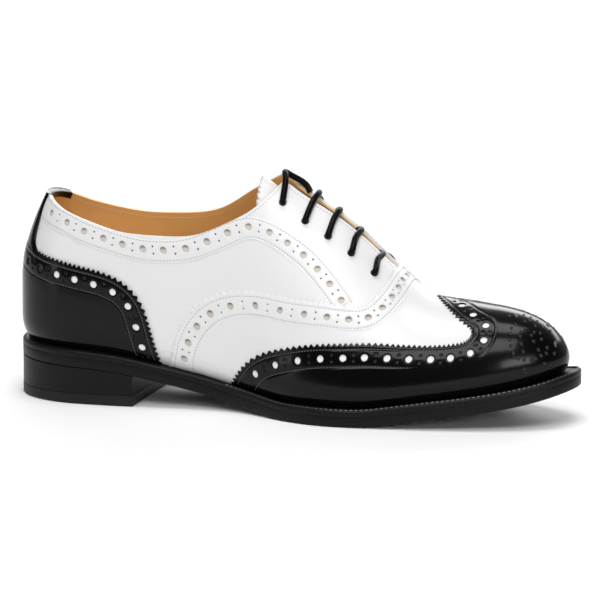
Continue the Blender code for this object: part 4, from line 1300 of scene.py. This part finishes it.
    @staticmethod
    def _wall(
        surface: Surface,
        p: np.ndarray,
        profile: tuple,
        height: Callable[[np.ndarray, float], np.ndarray],
        breast: bool = False,
    ) -> list[np.ndarray]:
        """Side walls through a profile of (inset, level) pairs, and the closed loops of points."""
        loops = []
        for inset, level in profile:
            plan = np.concatenate([LAST.outline(p, -1, inset), LAST.outline(p, 1, inset)[::-1]])
            if breast:
                front = HEEL_LENGTH - LAST.origin[0] - inset
                plan[:, 0] = np.minimum(plan[:, 0], front)
                plan[len(p) - 1, 0] = plan[len(p), 0] = front
            z = height(plan[:, 0] + LAST.origin[0], level)
            loops.append(np.concatenate([plan, z[:, None]], 1))
        surface.grid(np.stack([np.concatenate([loop, loop[:1]]) for loop in loops]), 0, turned=True)
        return loops

    def _slab(
        self,
        p: np.ndarray,
        profile: tuple,
        height: Callable[[np.ndarray, float], np.ndarray],
        breast: bool = False,
        under: int = 0,
    ) -> Surface:
        """A closed slab through a profile, its underside in the material slot `under`."""
        surface = Surface()
        loops = self._wall(surface, p, profile, height, breast)
        share = np.linspace(0, 1, 15)[None, :, None]
        for loop, slot, turned in ((loops[0], under, True), (loops[-1], 0, False)):
            inner, outer = loop[: len(p)], loop[len(p) :][::-1]
            surface.grid(inner[:, None] * (1 - share) + outer[:, None] * share, slot, turned=turned)
        return surface

    def soles(self) -> None:
        """Outsole, welt, insole, heel stack and top piece, each with softened edges."""
        heel = -np.cos(np.linspace(0, math.pi / 2, 60))
        toe = 1 + np.sin(np.linspace(0, math.pi / 2, 70))
        p = np.concatenate([heel, np.linspace(0, 1, 90)[1:-1], toe])
        thick, top = OUTSOLE_THICKNESS, SOLE_EDGE
        profile = (
            (0.0014, 0.0), (0.0006, 0.00005), (0.0002, 0.0003), (0.0, 0.0009), (0.0, thick - 0.0003),
            (0.0001, thick),
        )
        surface = self._slab(p, profile, over_sole, under=1)
        piece = surface.piece("sole_leather", [self.looks["edge_black"], self.looks["sole_under"]])
        fit(piece, Slot.EDGE, "outsole")

        surface = Surface()
        profile = (
            (0.0001, thick + 0.0001), (0.0, thick + 0.0003), (0.0, top - 0.0011), (0.00012, top - 0.0005),
            (0.00045, top - 0.00012), (0.0009, top), (0.0011, top - 0.0001), (0.0013, top - 0.00025),
            (0.0021, top - 0.00025), (0.0024, top - 0.0001), (0.0028, top), (0.0085, top),
        )
        self._wall(surface, p, profile, over_sole)
        fit(surface.piece("welt_leather", [self.looks["edge_black"]]), Slot.EDGE, "welt")

        surface = Surface()
        inner, outer = (LAST.at(p, float(side), -(WALL + WELT_LEDGE + GAP))[:, :2] for side in (-1, 1))
        share = np.linspace(0, 1, 21)[None, :, None]
        plan = inner[:, None] * (1 - share) + outer[:, None] * share
        for extra, turned in ((top + INSOLE_RISE, False), (thick + GAP, True)):
            z = over_sole(plan[..., 0] + LAST.origin[0], extra)
            surface.grid(np.concatenate([plan, z[..., None]], -1), 0, turned=turned)
        fit(surface.piece("lining_insole", [self.looks["tan_lining"]]), Slot.TAN, "insole")
        self._heel()
        self._welt_stitches()

    def _heel(self) -> None:
        """The stacked heel and its rubber top piece."""
        rows = 1 - np.cos(np.linspace(0, math.pi / 2, 70))
        fine = np.linspace(-1, 0.6, 400)
        front = HEEL_LENGTH - LAST.origin[0]
        limits = [np.interp(front, LAST.outline(fine, side)[:, 0], fine) for side in (-1, 1)]
        p = -1 + rows * (max(limits) + 1)
        low = TOP_PIECE_THICKNESS
        profile = (
            (0.0002, low + 0.0001), (0.0001, low + 0.0002), (0.0001, low + 0.0042), (0.0001, low + 0.0084),
            (0.0001, -0.0004), (0.0004, -0.0001),
        )
        surface = self._slab(p, profile, in_stack, breast=True)
        fit(surface.piece("heel_lifts", [self.looks["edge_black"]]), Slot.EDGE, "heel_stack")
        profile = ((0.0012, 0.0), (0.0004, 0.0001), (0.0, 0.0006), (0.0, low - 0.0002), (0.0001, low))
        surface = self._slab(p, profile, over_floor, breast=True)
        fit(surface.piece("heel_rubber", [self.looks["rubber"]]), Slot.EDGE, "top_piece")

    def _welt_stitches(self) -> None:
        """The stitches along the welt's top, from the waist round the toe to the other waist."""
        stitches = Stitches(pitch=0.0024, length=0.0020, radius=0.00060)
        start = float(LAST.row(np.array(0.40)))
        p = np.linspace(start, 2, 500)
        lines = [LAST.outline(p, side, 0.0013) for side in (-1, 1)]
        plan = np.concatenate([lines[0], lines[1][::-1]])
        z = LAST.sole(plan[:, 0] + LAST.origin[0]) + SOLE_EDGE - 0.0001
        stitches.sew(np.concatenate([plan, z[:, None]], 1), np.tile((0.0, 0.0, 1.0), (len(plan), 1)), 0.2)
        stitches.piece("welt_stitches", self.looks["welt_thread"], Slot.EDGE)

    def lace_route(self) -> np.ndarray:
        """The lace's points: the solid's route, its bars and its top strand laid closer to the leather."""
        reach = LACE_DIAMETER / 2 + LACE_CLEARANCE

        def through(number: int, side: int, outward: bool) -> list[np.ndarray]:
            """Out of an eyelet, or in."""
            p, t = self.eyelet(number, side)
            rise = (0.7 if side < 0 else 0.1) * reach
            points = [LAST.at(p, t, lift) for lift in (-WALL - 0.8 * reach, -WALL / 2, rise)]
            return points if outward else points[::-1]

        def bar(number: int, side: int) -> list[np.ndarray]:
            """Across the throat from an eyelet."""
            p, t = self.eyelet(number, side)
            across = np.array([0.78, 0.45, 0.0, -0.45, -0.78])
            far = np.sin(math.pi * np.clip(across * side, 0, 0.9) / 0.9)
            points = LAST.at(p, t * across, 0.0016 - 0.0005 * far)
            points[:, 0] -= 0.0012 * number * far
            points[:, 0] += (0.0030 - 0.0011 * number) * (1 - across**2)
            points[:, 2] -= (0.0009 + 0.0004 * number) * (1 - across**2) ** 2
            return list(points)

        def under(number: int, side: int) -> list[np.ndarray]:
            """Behind the facing, up to the next eyelet."""
            low, t = self.eyelet(number, side)
            high, _ = self.eyelet(number - 1, side)
            depth = -(WALL + LACE_DIAMETER / 2 + LACE_CLEARANCE)
            return [LAST.at(low + share * (high - low), t, depth) for share in (0.3, 0.7)]

        side = -1
        route = through(EYELETS_A_SIDE - 1, side, True)
        for number in range(EYELETS_A_SIDE - 1, 0, -1):
            route += bar(number, side)
            side = -side
            route += through(number, side, False)
            route += under(number, side)
            route += through(number - 1, side, True)
        p, t = self.eyelet(0, -1)
        pitch = self.eyelet(1, -1)[0] - p
        places = (
            (-0.03, 0.70, 0.9), (-0.12, 0.40, 0.7), (-0.16, 0.12, -0.1), (0.02, -0.12, -0.2),
            (0.30, -0.28, 0.3), (0.56, -0.36, 0.4), (0.78, -0.36, -0.3),
        )
        route += [LAST.at(p + ahead * pitch, t * across, reach * lift) for ahead, across, lift in places]
        return np.array(route)

    def lace(self) -> None:
        """The round waxed lace through the eyelets."""
        route = self.lace_route()
        steps = np.linalg.norm(np.diff(route, axis=0), axis=1) ** 0.5
        place = np.append(0, np.cumsum(steps))
        fine = np.linspace(0, place[-1], 900)
        path = np.stack([spline(place, route[:, axis], fine) for axis in range(3)], -1)
        ahead = np.gradient(path, axis=0)
        ahead /= np.linalg.norm(ahead, axis=1, keepdims=True)
        side = np.zeros_like(path)
        side[0] = np.cross(ahead[0], (0, 0, 1.0))
        for i in range(1, len(path)):
            side[i] = side[i - 1] - ahead[i] * np.dot(side[i - 1], ahead[i])
            side[i] /= np.linalg.norm(side[i])
        other = np.cross(ahead, side)
        turn = np.linspace(0, 2 * math.pi, self.LACE_POINTS)
        length = np.append(0, np.cumsum(np.linalg.norm(np.diff(path, axis=0), axis=1)))[:, None]
        twist, lay = self.WEAVE_STRANDS * turn, length * self.WEAVE_PITCH
        weave = 1 + self.WEAVE_DEPTH * np.sin(twist + lay) * np.sin(twist - lay)
        radius = LACE_DIAMETER / 2 * 0.985 * weave
        ring = side[:, None] * np.cos(turn)[None, :, None] + other[:, None] * np.sin(turn)[None, :, None]
        tube = path[:, None] + ring * radius[..., None]
        start, end = (np.repeat(path[i][None, None], self.LACE_POINTS, 1) for i in (0, -1))
        surface = Surface()
        surface.grid(np.concatenate([start, tube, end]))
        fit(surface.piece("waxed_lace", [self.looks["waxed_lace"]]), Slot.LACE, "lace")

    def edge_rows(self) -> None:
        """The single rows of stitches along the collar, the facings and the lining."""
        end = float(LAST.row(np.array(self.FACING_END)))
        p = np.concatenate([np.linspace(-0.93, 0, 200), np.linspace(0, end, 700)])
        share = LAST.station(p)[0] / LAST_LENGTH
        front, back = share > self.ROW_START, share < self.LINING_STOP
        for side in (-1, 1):
            t = side * (1 - LAST.top_edge(p, side))
            step = np.linalg.norm(LAST.at(p, t + side * 0.01) - LAST.at(p, t), axis=1) / 0.01
            near = t + side * self.EDGE_ROW / step
            self.white.on_last(p[front], near[front], 0.00005)
            row = t + side * self.LINING_ROW / step
            self.tan.sew(LAST.at(p[back], row[back], -WALL - 0.00005), -LAST.normal(p[back], row[back]))

    def medallion(self) -> None:
        """The toe's punched pattern: rims, and dark discs in the holes as painted shade."""
        rims, discs = Surface(), Surface()
        sides = self.MEDALLION_SIDES
        for share, up, large in MEDALLION:
            radius, tone = self.MEDALLION_RADIUS[large], self.MEDALLION_TONE[large]
            for side in (-1, 1):
                if up > 0.99 and side > 0:
                    continue
                p, t = LAST.row(np.array(share)), np.array(side * (1 - up))
                center, normal = LAST.at(p, t, BLACK_LIFT), LAST.normal(p, t)
                ring = circle(normal, sides) * radius
                loops = [center + ring * size + normal * high for size, high in self.MEDALLION_RIM]
                rims.add(np.concatenate(loops), hoops(len(loops), sides)[:, ::-1])
                disc = np.concatenate([center[None], center + ring * 0.98]) + normal * 0.00003
                # Dark discs in the holes: painted shade.
                discs.add(disc, fan(sides), 0, np.full((sides + 1, 3), tone))
        fit(rims.piece("medallion_rims", [self.looks["black_polished"]], weld=0), Slot.BLACK)
        fit(discs.piece("medallion_hole_shade", [self.looks["backing_and_painted_shade"]], weld=0), Slot.BLACK)


@dataclass
class Lamp:
    """A rectangular light, from its place towards its aim."""

    name: str
    place: tuple[float, float, float]
    aim: tuple[float, float, float]
    size: tuple[float, float]
    power: float


LAMPS = (
    Lamp("overhead", (0.0, -0.1, 1.5), (0, 0, 0), (1.1, 0.6), 13.0),
    Lamp("front", (0.2, -1.3, 1.5), (0, 0, 0.05), (1.4, 0.8), 19.5),
    Lamp("back", (0.0, 4.2, 2.0), (0, 4.2, 0), (6.0, 3.0), 320.0),
    Lamp("left", (-1.3, -1.0, 0.35), (-0.1, 0, 0.05), (0.25, 0.9), 2.0),
    Lamp("toe", (1.05, -1.35, 0.5), (0.1, 0, 0.03), (0.7, 0.35), 6.0),
)


class Studio:
    """The camera, the white floor and the soft lights."""

    def __init__(self) -> None:
        self.scene = bpy.context.scene

    def camera(self) -> None:
        """A long lens from the photo's angle."""
        lens = bpy.data.cameras.new("camera")
        lens.lens = CAMERA_LENS
        lens.sensor_width = 36
        eye = bpy.data.objects.new("camera", lens)
        self.scene.collection.objects.link(eye)
        a, e = math.radians(CAMERA_AZIMUTH), math.radians(CAMERA_ELEVATION)
        toward = Vector((math.sin(a) * math.cos(e), -math.cos(a) * math.cos(e), math.sin(e)))
        target = Vector(CAMERA_TARGET)
        eye.location = target + toward * CAMERA_DISTANCE
        eye.rotation_euler = (-toward).to_track_quat("-Z", "Y").to_euler()
        self.scene.camera = eye

    def floor(self, finish: bpy.types.Material) -> None:
        """A wide white floor."""
        reach = (-6.0, 6.0)
        surface = Surface()
        surface.grid(np.array([[(x, y, 0.0) for y in reach] for x in reach]))
        surface.piece("floor", [finish])

    def lights(self) -> None:
        """A large overhead light, two fills, a strip for the toe and a bright light over the floor behind."""
        for lamp in LAMPS:
            data = bpy.data.lights.new(lamp.name, "AREA")
            data.shape = "RECTANGLE"
            data.size, data.size_y = lamp.size
            data.energy = lamp.power
            light = bpy.data.objects.new(lamp.name, data)
            light.location = lamp.place
            light.rotation_euler = (Vector(lamp.aim) - Vector(lamp.place)).to_track_quat("-Z", "Y").to_euler()
            self.scene.collection.objects.link(light)

    def surround(self) -> None:
        """White behind the shoe, dark on the camera's side."""
        world = bpy.data.worlds.new("surround")
        world.use_nodes = True
        self.scene.world = world
        nodes, links = world.node_tree.nodes, world.node_tree.links
        place = nodes.new("ShaderNodeTexCoord")
        split = nodes.new("ShaderNodeSeparateXYZ")
        ramp = nodes.new("ShaderNodeValToRGB")
        links.new(place.outputs["Generated"], split.inputs["Vector"])
        links.new(split.outputs["Y"], ramp.inputs["Fac"])
        for stop, place, color in zip(
            ramp.color_ramp.elements, (0.0, 0.6), ((0.05, 0.05, 0.052, 1), (0.3, 0.3, 0.3, 1))
        ):
            stop.position, stop.color = place, color
        links.new(ramp.outputs["Color"], nodes["Background"].inputs["Color"])
        nodes["Background"].inputs["Strength"].default_value = 1.0


def main() -> None:
    """Builds the shoe over the frame, then its stage."""
    logging.basicConfig(level=logging.INFO)
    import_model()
    studio = Studio()
    studio.camera()
    finishes = Finishes()
    Shoe(finishes).build()
    studio.floor(Look("studio_white", (0.9, 0.9, 0.9), 0.9, grain=(10.0, 0.0)).build())
    studio.lights()
    studio.surround()
    bpy.context.scene.view_settings.view_transform = "Standard"
    LOG.info("built")


if __name__ == "__main__":
    main()
